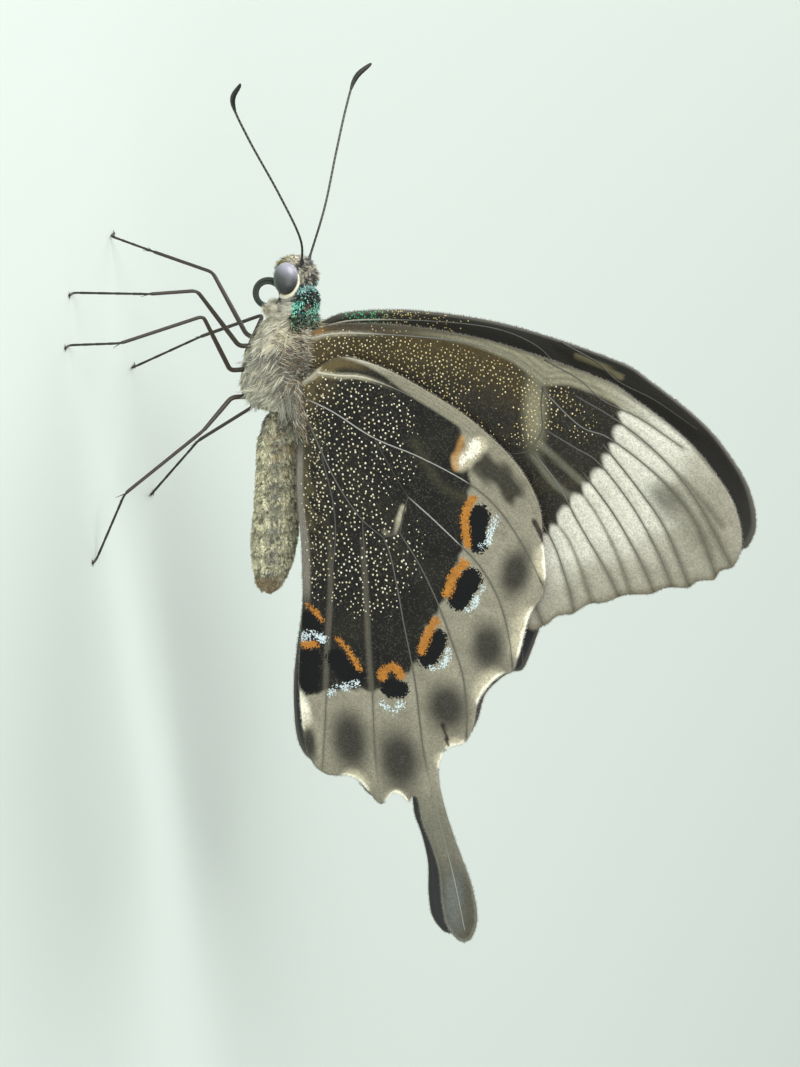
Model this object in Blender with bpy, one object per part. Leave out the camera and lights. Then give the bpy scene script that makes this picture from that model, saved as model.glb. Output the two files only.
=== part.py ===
"""Emerald swallowtail butterfly at life size, standing with its wings closed over its back.

Frame: +X ahead, +Y to the animal's left, +Z up. All six feet stand on z = 0, and the origin
lies under the middle of the whole outline. Sizes below are millimetres; meshes are metres.
"""
import bpy
import numpy as np

MM = 0.001
ORIGIN = (-0.63, 0.97, 0.0)  # where the row's origin lies in the layout below
GAP = 0.3                    # clear space where two pieces touch
PLATE = 0.5                  # thickness of a wing
LIMB = 0.25                  # radius of shins, feet and feelers
SIDES = 8                    # sides of a limb, whose lowest one is its flat sole

# Wings, as seen from the left: each outline runs from the root round to the root, (x, z).
FORE_COSTA = ((16.9, 19.7), (17.7, 22.6), (17.3, 29.0), (15.3, 37.4), (11.4, 46.7), (9.2, 49.8),
              (5.0, 54.2), (0.8, 56.9), (-2.0, 57.9), (-4.9, 58.0))
FORE_VEIN_TIPS = ((-6.9, 57.0), (-8.1, 55.0), (-8.7, 52.5), (-9.1, 48.9), (-9.6, 44.9),
                  (-10.5, 41.7), (-11.5, 38.8))
FORE_HIND_EDGE = ((-11.2, 36.6), (-4.0, 30.8), (9.0, 21.2), (13.4, 19.6))
FORE_SCALLOP = 0.35
HIND_COSTA = ((12.6, 18.9), (14.3, 21.4), (14.9, 23.6), (13.7, 27.1), (11.5, 30.7), (8.6, 34.6), (5.1, 37.8),
              (2.4, 39.4), (-0.3, 40.2), (-3.2, 40.1), (-6.0, 40.0))
HIND_MARGIN = ((-8.3, 39.5), (-10.2, 38.0), (-13.7, 36.6), (-15.4, 35.7), (-15.8, 34.4), (-17.7, 32.4),
               (-20.3, 31.5), (-21.9, 30.4), (-22.3, 29.0))
HIND_LOBES = ((-27.4, 24.2), (-27.5, 21.4), (-24.4, 16.5))
HIND_INNER_EDGE = ((-22.6, 15.1), (-19.0, 14.8), (-14.8, 15.1), (-8.0, 16.3), (-2.5, 16.9),
                   (1.0, 17.0), (4.0, 17.3), (9.5, 18.2))
HIND_SCALLOP = 1.0
TAIL_ROOT = ((-22.8, 28.3), (-26.8, 24.9))
TAIL_UPPER = ((-24.6, 27.6), (-27.5, 27.8), (-31.1, 28.5), (-35.4, 29.5), (-38.6, 29.6), (-40.5, 28.8))
TAIL_LOWER = ((-29.2, 25.1), (-31.4, 25.7), (-34.0, 26.1), (-36.7, 26.0), (-39.1, 26.2), (-40.6, 27.1))
TAIL_TIP = (-41.0, 27.9)
TAIL_GAP = (-0.3, -0.15)     # how far the tail starts from the wing that it grows from
FORE_HUB = (4.0, 42.0)       # a point from which the whole outline is in sight
HIND_HUB = (-5.0, 27.0)
FORE_Y = 2.4                 # middle of the fore wing beside the thorax
HIND_Y = FORE_Y + 0.85       # the hind wing lies outside it
LEAN = 0.026                 # a wing's outward lean per unit of height
LEAN_FROM = 22.0             # height at which the lean starts from FORE_Y
BOW = 0.5                    # outward bow of a wing between its foot and its tip
BOW_FROM, BOW_TO = 19.0, 58.0
SWING = 4.1                  # degrees that the right hind wing is turned down
SWING_ABOUT = (12.0, 19.0)
SWING_SHIFT = -0.9           # how far it is drawn back
SWING_SPREAD = 1.05         # how much wider it is spread

# Body stations: x, lowest, highest, half width, and how much narrower the top is.
HEAD = ((23.5, 18.3, 19.3, 0.4, 0.0), (23.3, 17.8, 19.8, 0.9, 0.0), (22.7, 17.2, 20.5, 1.3, 0.0),
        (21.8, 17.1, 20.9, 1.5, 0.0), (21.0, 17.3, 20.9, 1.4, 0.1), (20.6, 17.8, 20.6, 1.2, 0.1))
PROTHORAX = ((20.3, 18.1, 20.6, 1.3, 0.1), (19.9, 17.9, 20.9, 1.6, 0.1), (19.2, 17.5, 21.0, 1.9, 0.2),
             (18.5, 16.9, 20.9, 2.1, 0.3))
THORAX = ((18.2, 15.8, 20.7, 2.0, 0.3), (17.8, 15.0, 20.9, 2.3, 0.35), (16.6, 13.8, 21.0, 2.7, 0.35),
          (15.0, 12.9, 21.0, 2.9, 0.35), (13.2, 12.3, 20.8, 2.9, 0.35), (11.6, 12.1, 20.1, 2.6, 0.3),
          (10.3, 12.8, 19.0, 2.0, 0.25), (9.8, 13.6, 18.0, 1.3, 0.2))
ABDOMEN = ((9.4, 14.5, 17.8, 1.2, 0.2), (8.6, 14.0, 17.8, 1.55, 0.2), (7.6, 13.75, 17.6, 1.85, 0.2),
           (6.6, 13.25, 17.35, 2.1, 0.2), (4.0, 12.85, 16.85, 2.2, 0.2), (0.5, 12.2, 16.45, 2.25, 0.2),
           (-2.5, 11.55, 15.95, 2.25, 0.15), (-5.2, 11.4, 15.0, 1.9, 0.1), (-6.9, 11.6, 13.9, 1.1, 0.1), (-7.5, 12.2, 13.1, 0.45, 0.0))
EYE = (21.8, 1.45, 18.4)
EYE_AXES = (1.5, 1.0, 1.2)   # half lengths ahead, sideways and up
EYE_TILT = -8.0              # degrees about the sideways axis
PALP = (19.0, 0.95, 16.5)
PALP_AXES = (0.42, 0.36, 1.0)
PALP_TILT = 20.0
COIL = (20.2, 0.0, 16.1)     # middle of the coiled tongue
COIL_RADIUS = 1.38
COIL_START, COIL_END = 15.0, -180.0  # degrees from ahead, upwards

# Feelers: root, three guides and tip.
FEELER_LEFT = ((23.75, 1.05, 20.15), (25.6, 2.2, 20.35), (30.3, 4.4, 19.5), (35.9, 7.2, 18.2),
               (39.5, 8.9, 17.7), (41.3, 9.9, 18.9))
FEELER_RIGHT = ((23.75, -1.0, 20.4), (27.2, -3.1, 21.5), (31.6, -5.5, 22.5), (35.4, -7.7, 23.4),
                (37.7, -9.1, 24.2), (38.8, -10.0, 25.6))
CLUB_SHARE = 0.14            # share of a feeler's length that is its club
CLUB_RADIUS = 0.34

# Legs: hip, knee, ankle, toe. A toe's height is the limb's radius, so its sole is at z = 0.
LEGS = {
    "fore_left": ((16.0, 1.9, 13.3), (22.1, 5.4, 11.1), (22.4, 6.9, 7.1), (23.1, 8.5, 0.25)),
    "mid_left": ((13.9, 2.3, 12.3), (19.9, 6.2, 11.6), (18.7, 9.8, 4.7), (19.0, 11.7, 0.25)),
    "hind_left": ((11.4, 2.3, 12.1), (9.2, 5.4, 10.0), (4.9, 10.1, 3.3), (-0.8, 12.2, 0.25)),
    "fore_right": ((16.2, -1.9, 13.0), (21.8, -3.8, 10.0), (23.7, -6.0, 3.9), (25.4, -7.2, 0.25)),
    "mid_right": ((14.2, -2.4, 12.5), (17.3, -5.0, 13.9), (15.4, -6.2, 7.4), (12.7, -8.1, 0.25)),
    "hind_right": ((11.4, -2.4, 12.2), (8.9, -4.4, 12.0), (5.6, -6.3, 5.8), (0.4, -8.6, 0.25)),
}
THIGH = 0.32                 # radius of a thigh
SOLE = 1.2                   # length of the toe that lies on the ground
BEND = 0.5                   # how far from a joint its curve starts


def material(name, colour, roughness):
    made = bpy.data.materials.new(name)
    made.use_nodes = True
    shader = made.node_tree.nodes["Principled BSDF"]
    shader.inputs["Base Color"].default_value = (*colour, 1.0)
    shader.inputs["Roughness"].default_value = roughness
    made.diffuse_color = (*colour, 1.0)
    return made


def spline(points, steps):
    """Catmull-Rom curve through the points, with so many steps to each span."""
    p = np.array(points, float)
    p = np.vstack((2 * p[0] - p[1], p, 2 * p[-1] - p[-2]))
    t = np.arange(steps)[:, None] / steps
    spans = []
    for a, b, c, d in zip(p, p[1:], p[2:], p[3:]):
        bend = (2 * a - 5 * b + 4 * c - d) * t**2 + (3 * b - a - 3 * c + d) * t**3
        spans.append(b + 0.5 * ((c - a) * t + bend))
    return np.vstack((*spans, p[-2]))


def even(points, count):
    """So many points at equal distances along a line of points."""
    step = np.linalg.norm(np.diff(points, axis=0), axis=1)
    at = np.concatenate(((0.0,), np.cumsum(step)))
    goal = np.linspace(0.0, at[-1], count)
    return np.column_stack([np.interp(goal, at, axis) for axis in points.T])


def solid(name, rings, look):
    """One closed body from equal rings of points, with its ends capped."""
    rings = np.array(rings, float)
    count, sides = rings.shape[:2]
    points = (rings.reshape(-1, 3) - ORIGIN) * MM
    faces = []
    for ring in range(count - 1):
        for side in range(sides):
            a = ring * sides + side
            b = ring * sides + (side + 1) % sides
            faces.append((a, b, b + sides, a + sides))
    faces.append(tuple(range(sides))[::-1])
    faces.append(tuple(range((count - 1) * sides, count * sides)))
    return body(name, points, faces, look)


def body(name, points, faces, look):
    """Put the faces into an object of its own, and turn them outwards."""
    mesh = bpy.data.meshes.new(name)
    mesh.from_pydata(points.tolist(), [], faces)
    mesh.materials.append(look)
    made = bpy.data.objects.new(name, mesh)
    bpy.context.collection.objects.link(made)
    if signed_volume(mesh) < 0:
        mesh.flip_normals()
    mesh.shade_smooth()
    mesh.set_sharp_from_angle(angle=0.9)
    return made


def signed_volume(mesh):
    """Six times the volume inside the faces, below zero where they point inwards."""
    mesh.calc_loop_triangles()
    total = 0.0
    for triangle in mesh.loop_triangles:
        a, b, c = (mesh.vertices[i].co for i in triangle.vertices)
        total += a.dot(b.cross(c))
    return total


def flesh(name, stations, look, sides=18, steps=3):
    """A length of the body: egg-shaped slices across X, narrower at the top."""
    turn = np.linspace(0.0, 2 * np.pi, sides, endpoint=False)
    rings = []
    for x, low, high, half, narrow in spline(stations, steps):
        wide = half * np.cos(turn) * (1 - narrow * np.sin(turn))
        up = (low + high) / 2 + (high - low) / 2 * np.sin(turn)
        rings.append(np.column_stack((np.full(sides, x), wide, up)))
    return solid(name, rings, look)


def egg(name, centre, axes, look, tilt=0.0, segments=18, rows=12):
    """A closed ellipsoid, turned about the sideways axis, with its poles to the sides."""
    turn = np.linspace(0.0, 2 * np.pi, segments, endpoint=False)
    lean = np.radians(tilt)
    rings = []
    for rise in np.linspace(-np.pi / 2, np.pi / 2, rows + 1)[1:-1]:
        x = axes[0] * np.cos(rise) * np.cos(turn)
        z = axes[2] * np.cos(rise) * np.sin(turn)
        ahead = x * np.cos(lean) + z * np.sin(lean)
        up = z * np.cos(lean) - x * np.sin(lean)
        side = np.full(segments, axes[1] * np.sin(rise))
        rings.append(np.column_stack((ahead, side, up)) + centre)
    return solid(name, rings, look)


def tube(name, route, radii, look, up=(0.0, 0.0, 1.0), sides=SIDES):
    """A limb: rings of equal sides along a line of points, carried back from its far end.

    At the far end one side of the ring faces straight away from up; from there each ring
    keeps the last one's up, made square to its own stretch, so that the limb has no twist.
    """
    route = np.array(route, float)
    along = np.gradient(route, axis=0)
    along /= np.linalg.norm(along, axis=1, keepdims=True)
    turn = (np.arange(sides)[:, None] + 0.5) * 2 * np.pi / sides
    up = np.array(up)
    rings = []
    for point, way, radius in zip(route[::-1], along[::-1], radii[::-1]):
        up = up - way * up.dot(way)
        up /= np.linalg.norm(up)
        reach = radius / np.cos(np.pi / sides)
        rings.append(point + reach * (np.cos(turn) * np.cross(way, up) + np.sin(turn) * up))
    return solid(name, rings[::-1], look)


def scalloped(tips, hub, depth):
    """A margin through the vein tips, with a hollow towards the hub between each two."""
    tips = np.array(tips, float)
    middle = (tips[:-1] + tips[1:]) / 2
    inward = np.array(hub) - middle
    middle += depth * inward / np.linalg.norm(inward, axis=1, keepdims=True)
    line = np.empty((2 * len(tips) - 1, 2))
    line[0::2] = tips
    line[1::2] = middle
    return line


def wing_side(z, base):
    """How far to the side the middle of a wing lies at a height: a lean and a shallow bow."""
    share = np.clip((z - BOW_FROM) / (BOW_TO - BOW_FROM), 0.0, 1.0)
    return base + LEAN * (z - LEAN_FROM) + BOW * np.sin(np.pi * share)


def placed(x, z, side, base, swung):
    """Put points of a wing drawn in side view at their place, on the left or the right."""
    y = wing_side(z, base)
    if swung:
        lean = np.radians(SWING)
        back = x - SWING_ABOUT[0]
        up = (z - SWING_ABOUT[1]) * SWING_SPREAD
        x = SWING_ABOUT[0] + SWING_SHIFT + back * np.cos(lean) - up * np.sin(lean)
        z = SWING_ABOUT[1] + up * np.cos(lean) + back * np.sin(lean)
    return x, side * y, z


def plate(name, outline, hub, side, base, look, swung=False):
    """A wing: a flat plate fanned out from its hub, of even thickness."""
    shares = (0.02, 0.5, 1.0)
    rings = [np.array(hub) + share * (outline - hub) for share in shares]
    rings = rings + rings[::-1]
    thick = [0.5] * len(shares) + [-0.5] * len(shares)
    made = []
    for ring, offset in zip(rings, thick):
        x, y, z = placed(ring[:, 0], ring[:, 1], side, base, swung)
        made.append(np.column_stack((x, y + offset * PLATE, z)))
    return solid(name, made, look)


def fore_wing(name, side, look):
    margin = scalloped(FORE_VEIN_TIPS, FORE_HUB, FORE_SCALLOP)
    outline = spline((*FORE_COSTA, *margin, *FORE_HIND_EDGE), 4)
    return plate(name, even(outline, 72), FORE_HUB, side, FORE_Y, look)


def hind_wing(name, side, look, swung):
    upper = (*HIND_MARGIN, TAIL_ROOT[0])
    lower = scalloped(HIND_LOBES, HIND_HUB, HIND_SCALLOP)
    outline = spline((TAIL_ROOT[1], *lower, *HIND_INNER_EDGE, *HIND_COSTA, *upper), 4)
    return plate(name, even(outline, 84), HIND_HUB, side, HIND_Y, look, swung)


def tail(name, side, look, swung):
    """The tail: rungs between its two edges, a gap away from the wing it grows from."""
    root = np.array(TAIL_ROOT) + TAIL_GAP
    upper = np.vstack((root[0], TAIL_UPPER, TAIL_TIP))
    lower = np.vstack((root[1], TAIL_LOWER, TAIL_TIP))
    upper = spline(upper, 3)[:-1]
    lower = spline(lower, 3)[:-1]
    rings = []
    for top, under in zip(upper, lower):
        x, y, z = placed(np.array((top[0], under[0])), np.array((top[1], under[1])), side, HIND_Y, swung)
        half = PLATE / 2
        rings.append([(x[0], y[0] - half, z[0]), (x[0], y[0] + half, z[0]),
                      (x[1], y[1] + half, z[1]), (x[1], y[1] - half, z[1])])
    return solid(name, rings, look)


def rounded(corners, reach):
    """The straight runs between the corners, with each inner corner cut by a short curve."""
    corners = np.array(corners, float)
    line = [corners[0]]
    t = np.linspace(0.0, 1.0, 5)[:, None]
    for before, corner, after in zip(corners, corners[1:], corners[2:]):
        start = corner + reach * (before - corner) / np.linalg.norm(before - corner)
        end = corner + reach * (after - corner) / np.linalg.norm(after - corner)
        line.extend(start * (1 - t) ** 2 + corner * 2 * t * (1 - t) + end * t**2)
    line.append(corners[-1])
    return np.array(line)


def stretch(line, start, end, count):
    """So many evenly spaced points of a line, between two distances along it."""
    step = np.linalg.norm(np.diff(line, axis=0), axis=1)
    at = np.concatenate(((0.0,), np.cumsum(step)))
    goal = np.linspace(start, end, count)
    return np.column_stack([np.interp(goal, at, axis) for axis in line.T])


def leg(name, points, look):
    """Thigh, shin and foot, cut apart by a gap, with a flat length of toe on the ground."""
    hip, knee, ankle, toe = np.array(points, float)
    outward = np.array((0.0, np.sign(toe[1]), 0.0))
    heel = toe - outward * SOLE
    thigh = np.linalg.norm(knee - hip)
    shin = thigh + np.linalg.norm(ankle - knee)
    foot = shin + np.linalg.norm(heel - ankle)
    line = rounded((hip, knee, ankle, heel, toe), BEND)
    femur = stretch(line, 0.0, thigh - GAP, 6)
    tibia = stretch(line, thigh, shin - GAP, 6)
    sole = [heel + outward * SOLE * share for share in (0.25, 0.5, 1.0)]
    tarsus = np.vstack((stretch(line, shin, foot - BEND, 5), sole))
    tube(f"femur_{name}", femur, np.full(6, THIGH), look)
    tube(f"tibia_{name}", tibia, np.full(6, LIMB), look)
    tube(f"tarsus_{name}", tarsus, np.full(8, LIMB), look)


def tongue(name, look):
    """The sucking tube, wound in half an open turn under the head."""
    turn = np.radians(np.linspace(COIL_START, COIL_END, 20))
    reach = np.linspace(COIL_RADIUS, COIL_RADIUS * 0.95, len(turn))
    x = COIL[0] + reach * np.cos(turn)
    z = COIL[2] + reach * np.sin(turn)
    route = np.column_stack((x, np.zeros(len(turn)), z))
    return tube(name, route, np.full(len(turn), LIMB), look, (0.0, 1.0, 0.0), 6)


def feeler(side, points, look):
    """A feeler: a thin shaft, and the club that ends it."""
    route = even(spline(points, 8), 22)
    split = round((1 - CLUB_SHARE) * 21)
    tube(f"antenna_{side}", route[:split + 1], np.full(split + 1, LIMB), look, sides=6)
    club = route[split:].copy()
    club[0] += GAP * (club[1] - club[0]) / np.linalg.norm(club[1] - club[0])
    swell = np.linspace(0.0, 1.0, len(club))
    tube(f"antenna_club_{side}", club, LIMB + (CLUB_RADIUS - LIMB) * np.sin(np.pi * swell), look, sides=6)


def cut_sockets(head):
    """Sink a socket for each eye into the head, a gap wider than the eye."""
    socket_look = head.data.materials[0]
    for side in (1, -1):
        axes = [reach + GAP for reach in EYE_AXES]
        centre = (EYE[0], side * EYE[1], EYE[2])
        socket = egg(f"socket_{'left' if side > 0 else 'right'}", centre, axes, socket_look, EYE_TILT)
        socket.hide_render = True
        socket.display_type = "WIRE"
        cut = head.modifiers.new("socket", "BOOLEAN")
        cut.operation = "DIFFERENCE"
        cut.solver = "EXACT"
        cut.object = socket


for old in list(bpy.data.objects):
    bpy.data.objects.remove(old, do_unlink=True)

coat = material("coat", (0.36, 0.34, 0.25), 0.9)
belly = material("belly", (0.24, 0.20, 0.12), 0.8)
dark_wing = material("wing_brown_grey", (0.12, 0.11, 0.09), 0.8)
horn = material("dark_horn", (0.04, 0.035, 0.03), 0.4)
eye_look = material("eye", (0.25, 0.25, 0.25), 0.15)
cream = material("cream", (0.75, 0.7, 0.55), 0.9)

cut_sockets(flesh("head", HEAD, coat))
flesh("prothorax", PROTHORAX, coat)
flesh("thorax", THORAX, coat)
flesh("abdomen", ABDOMEN, belly)
tongue("proboscis", horn)
for side, sign, feeler_route in (("left", 1, FEELER_LEFT), ("right", -1, FEELER_RIGHT)):
    egg(f"eye_{side}", (EYE[0], sign * EYE[1], EYE[2]), EYE_AXES, eye_look, EYE_TILT)
    egg(f"palp_{side}", (PALP[0], sign * PALP[1], PALP[2]), PALP_AXES, cream, PALP_TILT, 10, 7)
    feeler(side, feeler_route, horn)
    fore_wing(f"forewing_{side}", sign, dark_wing)
    hind_wing(f"hindwing_{side}", sign, dark_wing, sign < 0)
    tail(f"tail_{side}", sign, dark_wing, sign < 0)
for place, joints in LEGS.items():
    leg(place, joints, horn)
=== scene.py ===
"""Looks of an emerald swallowtail butterfly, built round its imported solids.

Everything is laid out in millimetres as the solids are: x ahead, y to the animal's left, z up,
for a left side seen from the left. The shared frame is that layout less ORIGIN, in metres.
"""

import bpy
import numpy as np
from mathutils import Matrix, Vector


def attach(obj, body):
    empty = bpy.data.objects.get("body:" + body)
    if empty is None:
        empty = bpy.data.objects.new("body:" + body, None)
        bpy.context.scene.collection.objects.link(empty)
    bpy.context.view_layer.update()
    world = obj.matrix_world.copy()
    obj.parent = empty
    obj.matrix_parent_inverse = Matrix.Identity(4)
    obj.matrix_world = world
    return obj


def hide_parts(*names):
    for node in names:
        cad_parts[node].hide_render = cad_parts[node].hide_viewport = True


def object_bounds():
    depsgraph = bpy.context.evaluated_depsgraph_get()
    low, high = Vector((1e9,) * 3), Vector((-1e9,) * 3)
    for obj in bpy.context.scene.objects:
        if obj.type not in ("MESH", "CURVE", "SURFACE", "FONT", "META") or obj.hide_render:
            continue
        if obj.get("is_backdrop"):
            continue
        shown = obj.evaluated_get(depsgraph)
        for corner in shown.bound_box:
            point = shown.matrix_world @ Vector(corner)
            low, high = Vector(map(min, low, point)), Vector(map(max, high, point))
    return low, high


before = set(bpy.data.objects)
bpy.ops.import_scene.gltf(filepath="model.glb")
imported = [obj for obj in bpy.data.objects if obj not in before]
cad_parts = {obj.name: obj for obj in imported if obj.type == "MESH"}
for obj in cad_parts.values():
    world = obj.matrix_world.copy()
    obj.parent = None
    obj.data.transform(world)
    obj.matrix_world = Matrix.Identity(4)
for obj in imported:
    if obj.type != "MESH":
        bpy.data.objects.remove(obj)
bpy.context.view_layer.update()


# ---- Studio ---------------------------------------------------------------------------------
# The butterfly stands on a plain pale floor. The camera looks at its left side from a little
# ahead and above, rolled so that ahead is up, and large soft lights stand round it.
MM = 0.001
AIM = (-2.17, -0.97, 25.59)
CAMERA_DISTANCE = 600.0
CAMERA_RISE, CAMERA_ROUND, CAMERA_ROLL = np.radians((15.0, 14.0, 86.6))
LENS, SENSOR = 222.7, 36.0
NEAR, FAR = 0.01, 20.0       # metres between which the camera sees
FLOOR_SIZE = 6.0
FLOOR_COLOUR, FLOOR_ROUGHNESS = (0.60, 0.66, 0.61), 0.7
ROOM_COLOUR, ROOM_LIGHT = (0.86, 0.93, 0.90), 0.42
LIGHTS = (   # for each: name, place, size and power
    ("key", (420.0, 260.0, 420.0), 520.0, 4.6),
    ("fill", (-160.0, 620.0, 260.0), 600.0, 1.6),
    ("back", (260.0, -520.0, 420.0), 500.0, 3.0),
)


def material(name, roughness, colour=(0.5, 0.5, 0.5)):
    """A material, its node tree and its shader, with one roughness and colour to start from."""
    made = bpy.data.materials.new(name)
    made.use_nodes = True
    shader = made.node_tree.nodes["Principled BSDF"]
    shader.inputs["Roughness"].default_value = roughness
    shader.inputs["Base Color"].default_value = (*colour, 1.0)
    return made, made.node_tree, shader


def camera_axes():
    """Right, up and back of the camera: back points from the aim to it, and the roll turns
    right and up about back."""
    rise, swing, roll = CAMERA_RISE, CAMERA_ROUND, CAMERA_ROLL
    back = np.array((np.sin(swing) * np.cos(rise), np.cos(swing) * np.cos(rise), np.sin(rise)))
    level = np.array((-np.cos(swing), np.sin(swing), 0.0))
    upright = np.cross(back, level)
    right = np.cos(roll) * level + np.sin(roll) * upright
    return right, np.cross(back, right), back


def facing(name, data, place, axes):
    """An object at a place, whose own x, y and z lie along the three axes."""
    made = bpy.data.objects.new(name, data)
    bpy.context.collection.objects.link(made)
    turn = Matrix([list(row) + [0.0] for row in np.column_stack(axes)] + [[0.0, 0.0, 0.0, 1.0]])
    made.matrix_world = Matrix.Translation(place) @ turn
    return made


lens = bpy.data.cameras.new("camera")
lens.lens = LENS
lens.sensor_width = SENSOR
lens.clip_start, lens.clip_end = NEAR, FAR
right, up, back = camera_axes()
bpy.context.scene.camera = facing("camera", lens, (np.array(AIM) + CAMERA_DISTANCE * back) * MM,
                                  (right, up, back))
for name, place, size, power in LIGHTS:
    lamp = bpy.data.lights.new(name, "AREA")
    lamp.size = size * MM
    lamp.energy = power
    away = np.array(place) - AIM
    away /= np.linalg.norm(away)
    across = np.cross((0.0, 0.0, 1.0), away)
    across /= np.linalg.norm(across)
    facing(name, lamp, np.array(place) * MM, (across, np.cross(away, across), away))
room = bpy.data.worlds.new("room")
room.use_nodes = True
backdrop = room.node_tree.nodes["Background"]
backdrop.inputs["Color"].default_value = (*ROOM_COLOUR, 1.0)
backdrop.inputs["Strength"].default_value = ROOM_LIGHT
bpy.context.scene.world = room
bpy.context.scene.view_settings.view_transform = "Standard"
half = FLOOR_SIZE / 2
corners = ((-half, -half, 0), (half, -half, 0), (half, half, 0), (-half, half, 0))
sheet = bpy.data.meshes.new("floor")
sheet.from_pydata(corners, [], [(0, 1, 2, 3)])
sheet.materials.append(material("floor", FLOOR_ROUGHNESS, FLOOR_COLOUR)[0])
floor = bpy.data.objects.new("floor", sheet)
bpy.context.collection.objects.link(floor)
floor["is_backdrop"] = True


# ---- Fore wings -----------------------------------------------------------------------------
# A fore wing is a thin membrane stretched between hollow veins and shingled with flat scales.
# Its root is hinged to the thorax. Closed, it shows its underside: brown dusted with gold at the
# root, then a dark patch, then a pale field ruled by dark veins.
ORIGIN = np.array((-0.63, 0.97, 0.0))
SIDES = (("left", 1), ("right", -1))
FORE_COSTA = ((16.9, 19.7), (17.7, 22.6), (17.3, 29.0), (15.3, 37.4), (11.4, 46.7), (9.2, 49.8),
              (5.0, 54.2), (0.8, 56.9), (-2.0, 57.9), (-4.9, 58.0))
FORE_VEIN_TIPS = ((-6.9, 57.0), (-8.1, 55.0), (-8.7, 52.5), (-9.1, 48.9), (-9.6, 44.9),
                  (-10.5, 41.7), (-11.5, 38.8))
FORE_HIND_EDGE = ((-11.2, 36.6), (-4.0, 30.8), (9.0, 21.2), (13.4, 19.6))
FORE_SCALLOP = 0.35
FORE_HUB = (4.0, 42.0)       # a point from which the whole outline is in sight
FORE_Y = 2.4                 # middle of the fore wing beside the thorax
LEAN, LEAN_FROM = 0.026, 22.0
BOW, BOW_FROM, BOW_TO = 0.5, 19.0, 58.0
SWING = 4.1                  # degrees that the right hind wing is turned down
SWING_ABOUT = (12.0, 19.0)
SWING_SHIFT, SWING_SPREAD = -0.9, 1.05
SHEET = 0.07                 # half the thickness of a wing
PUFF, PUFF_REACH = 0.08, 0.8   # how far the membrane stands out between veins, and how soon
WAVE = 0.06                  # its slow waviness
FRINGE = 0.22                # depth of the fringe outside the membrane
AROUND, RINGS, BACK_RINGS = 640, 84, 26
OUTLINE_STEPS = 16
FORE_VEINS = (
    ((16.1, 19.2), (16.7, 23.1), (16.0, 30.5), (14.9, 36.0), (13.1, 39.5), (10.8, 41.4)),
    ((10.8, 41.4), (9.1, 41.0), (6.8, 40.8), (5.2, 39.6), (4.8, 38.5), (4.9, 37.2)),
    ((13.2, 41.8), (11.2, 44.8), (9.2, 46.7), (7.6, 49.4), (6.4, 51.0), (4.4, 53.4)),
    ((9.8, 44.2), (7.4, 47.6), (4.7, 50.5), (1.8, 52.8), (-1.7, 54.7), (-6.6, 56.6)),
    ((10.6, 41.2), (7.0, 44.3), (5.8, 46.7), (3.3, 49.6), (0.7, 51.9), (-2.7, 53.9), (-7.6, 55.2)),
    ((5.2, 46.2), (1.2, 48.8), (-2.9, 51.0), (-8.3, 52.6)),
    ((6.8, 41.1), (5.0, 43.6), (3.4, 45.7), (-0.6, 48.2), (-5.1, 50.1), (-8.8, 51.2)),
    ((2.7, 44.1), (-1.2, 46.4), (-6.0, 48.5), (-9.0, 49.4)),
    ((4.8, 39.7), (1.7, 41.7), (-1.8, 43.1), (-6.5, 45.2), (-9.4, 46.3)),
    ((3.3, 36.5), (-2.4, 40.1), (-7.1, 41.4), (-10.4, 41.8)),
    ((13.0, 21.5), (8.5, 30.0), (5.0, 37.0)),
    ((12.6, 20.6), (4.0, 30.5), (-4.0, 36.5), (-11.0, 38.7)),
)
FORE_FOLDS = (
    ((4.8, 39.7), (1.2, 43.5), (-3.7, 45.9), (-9.3, 47.4)),
    ((4.9, 37.2), (-1.3, 40.8), (-4.1, 42.3), (-9.9, 43.7)),
    ((8.0, 47.0), (3.4, 51.6), (-0.5, 54.6), (-3.0, 56.2)),
)


def spline(points, steps):
    """Catmull-Rom curve through the points, with so many steps to each span."""
    p = np.array(points, float)
    p = np.vstack((2 * p[0] - p[1], p, 2 * p[-1] - p[-2]))
    t = np.arange(steps)[:, None] / steps
    spans = []
    for a, b, c, d in zip(p, p[1:], p[2:], p[3:]):
        bend = (2 * a - 5 * b + 4 * c - d) * t**2 + (3 * b - a - 3 * c + d) * t**3
        spans.append(b + 0.5 * ((c - a) * t + bend))
    return np.vstack((*spans, p[-2]))


def even(points, count):
    """So many points at equal distances along a line of points."""
    step = np.linalg.norm(np.diff(points, axis=0), axis=1)
    at = np.concatenate(((0.0,), np.cumsum(step)))
    goal = np.linspace(0.0, at[-1], count)
    return np.column_stack([np.interp(goal, at, axis) for axis in points.T])


def scalloped(tips, hub, depth):
    """A margin through the vein tips, with a hollow towards the hub between each two."""
    tips = np.array(tips, float)
    middle = (tips[:-1] + tips[1:]) / 2
    inward = np.array(hub) - middle
    middle += depth * inward / np.linalg.norm(inward, axis=1, keepdims=True)
    line = np.empty((2 * len(tips) - 1, 2))
    line[0::2] = tips
    line[1::2] = middle
    return line


def off(points, route):
    """Distance from each point to a line of points, below zero on its right-hand side."""
    best = np.full(len(points), 1e9)
    signed = np.zeros(len(points))
    for a, b in zip(route, route[1:]):
        way = b - a
        share = np.clip((points - a) @ way / (way @ way), 0.0, 1.0)
        gap = points - a - share[:, None] * way
        far = np.hypot(gap[:, 0], gap[:, 1])
        nearer = far < best - 1e-9
        turn = way[0] * (points[:, 1] - a[1]) - way[1] * (points[:, 0] - a[0])
        signed = np.where(nearer, np.where(turn < 0, -far, far), signed)
        best = np.minimum(best, far)
    return signed


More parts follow.
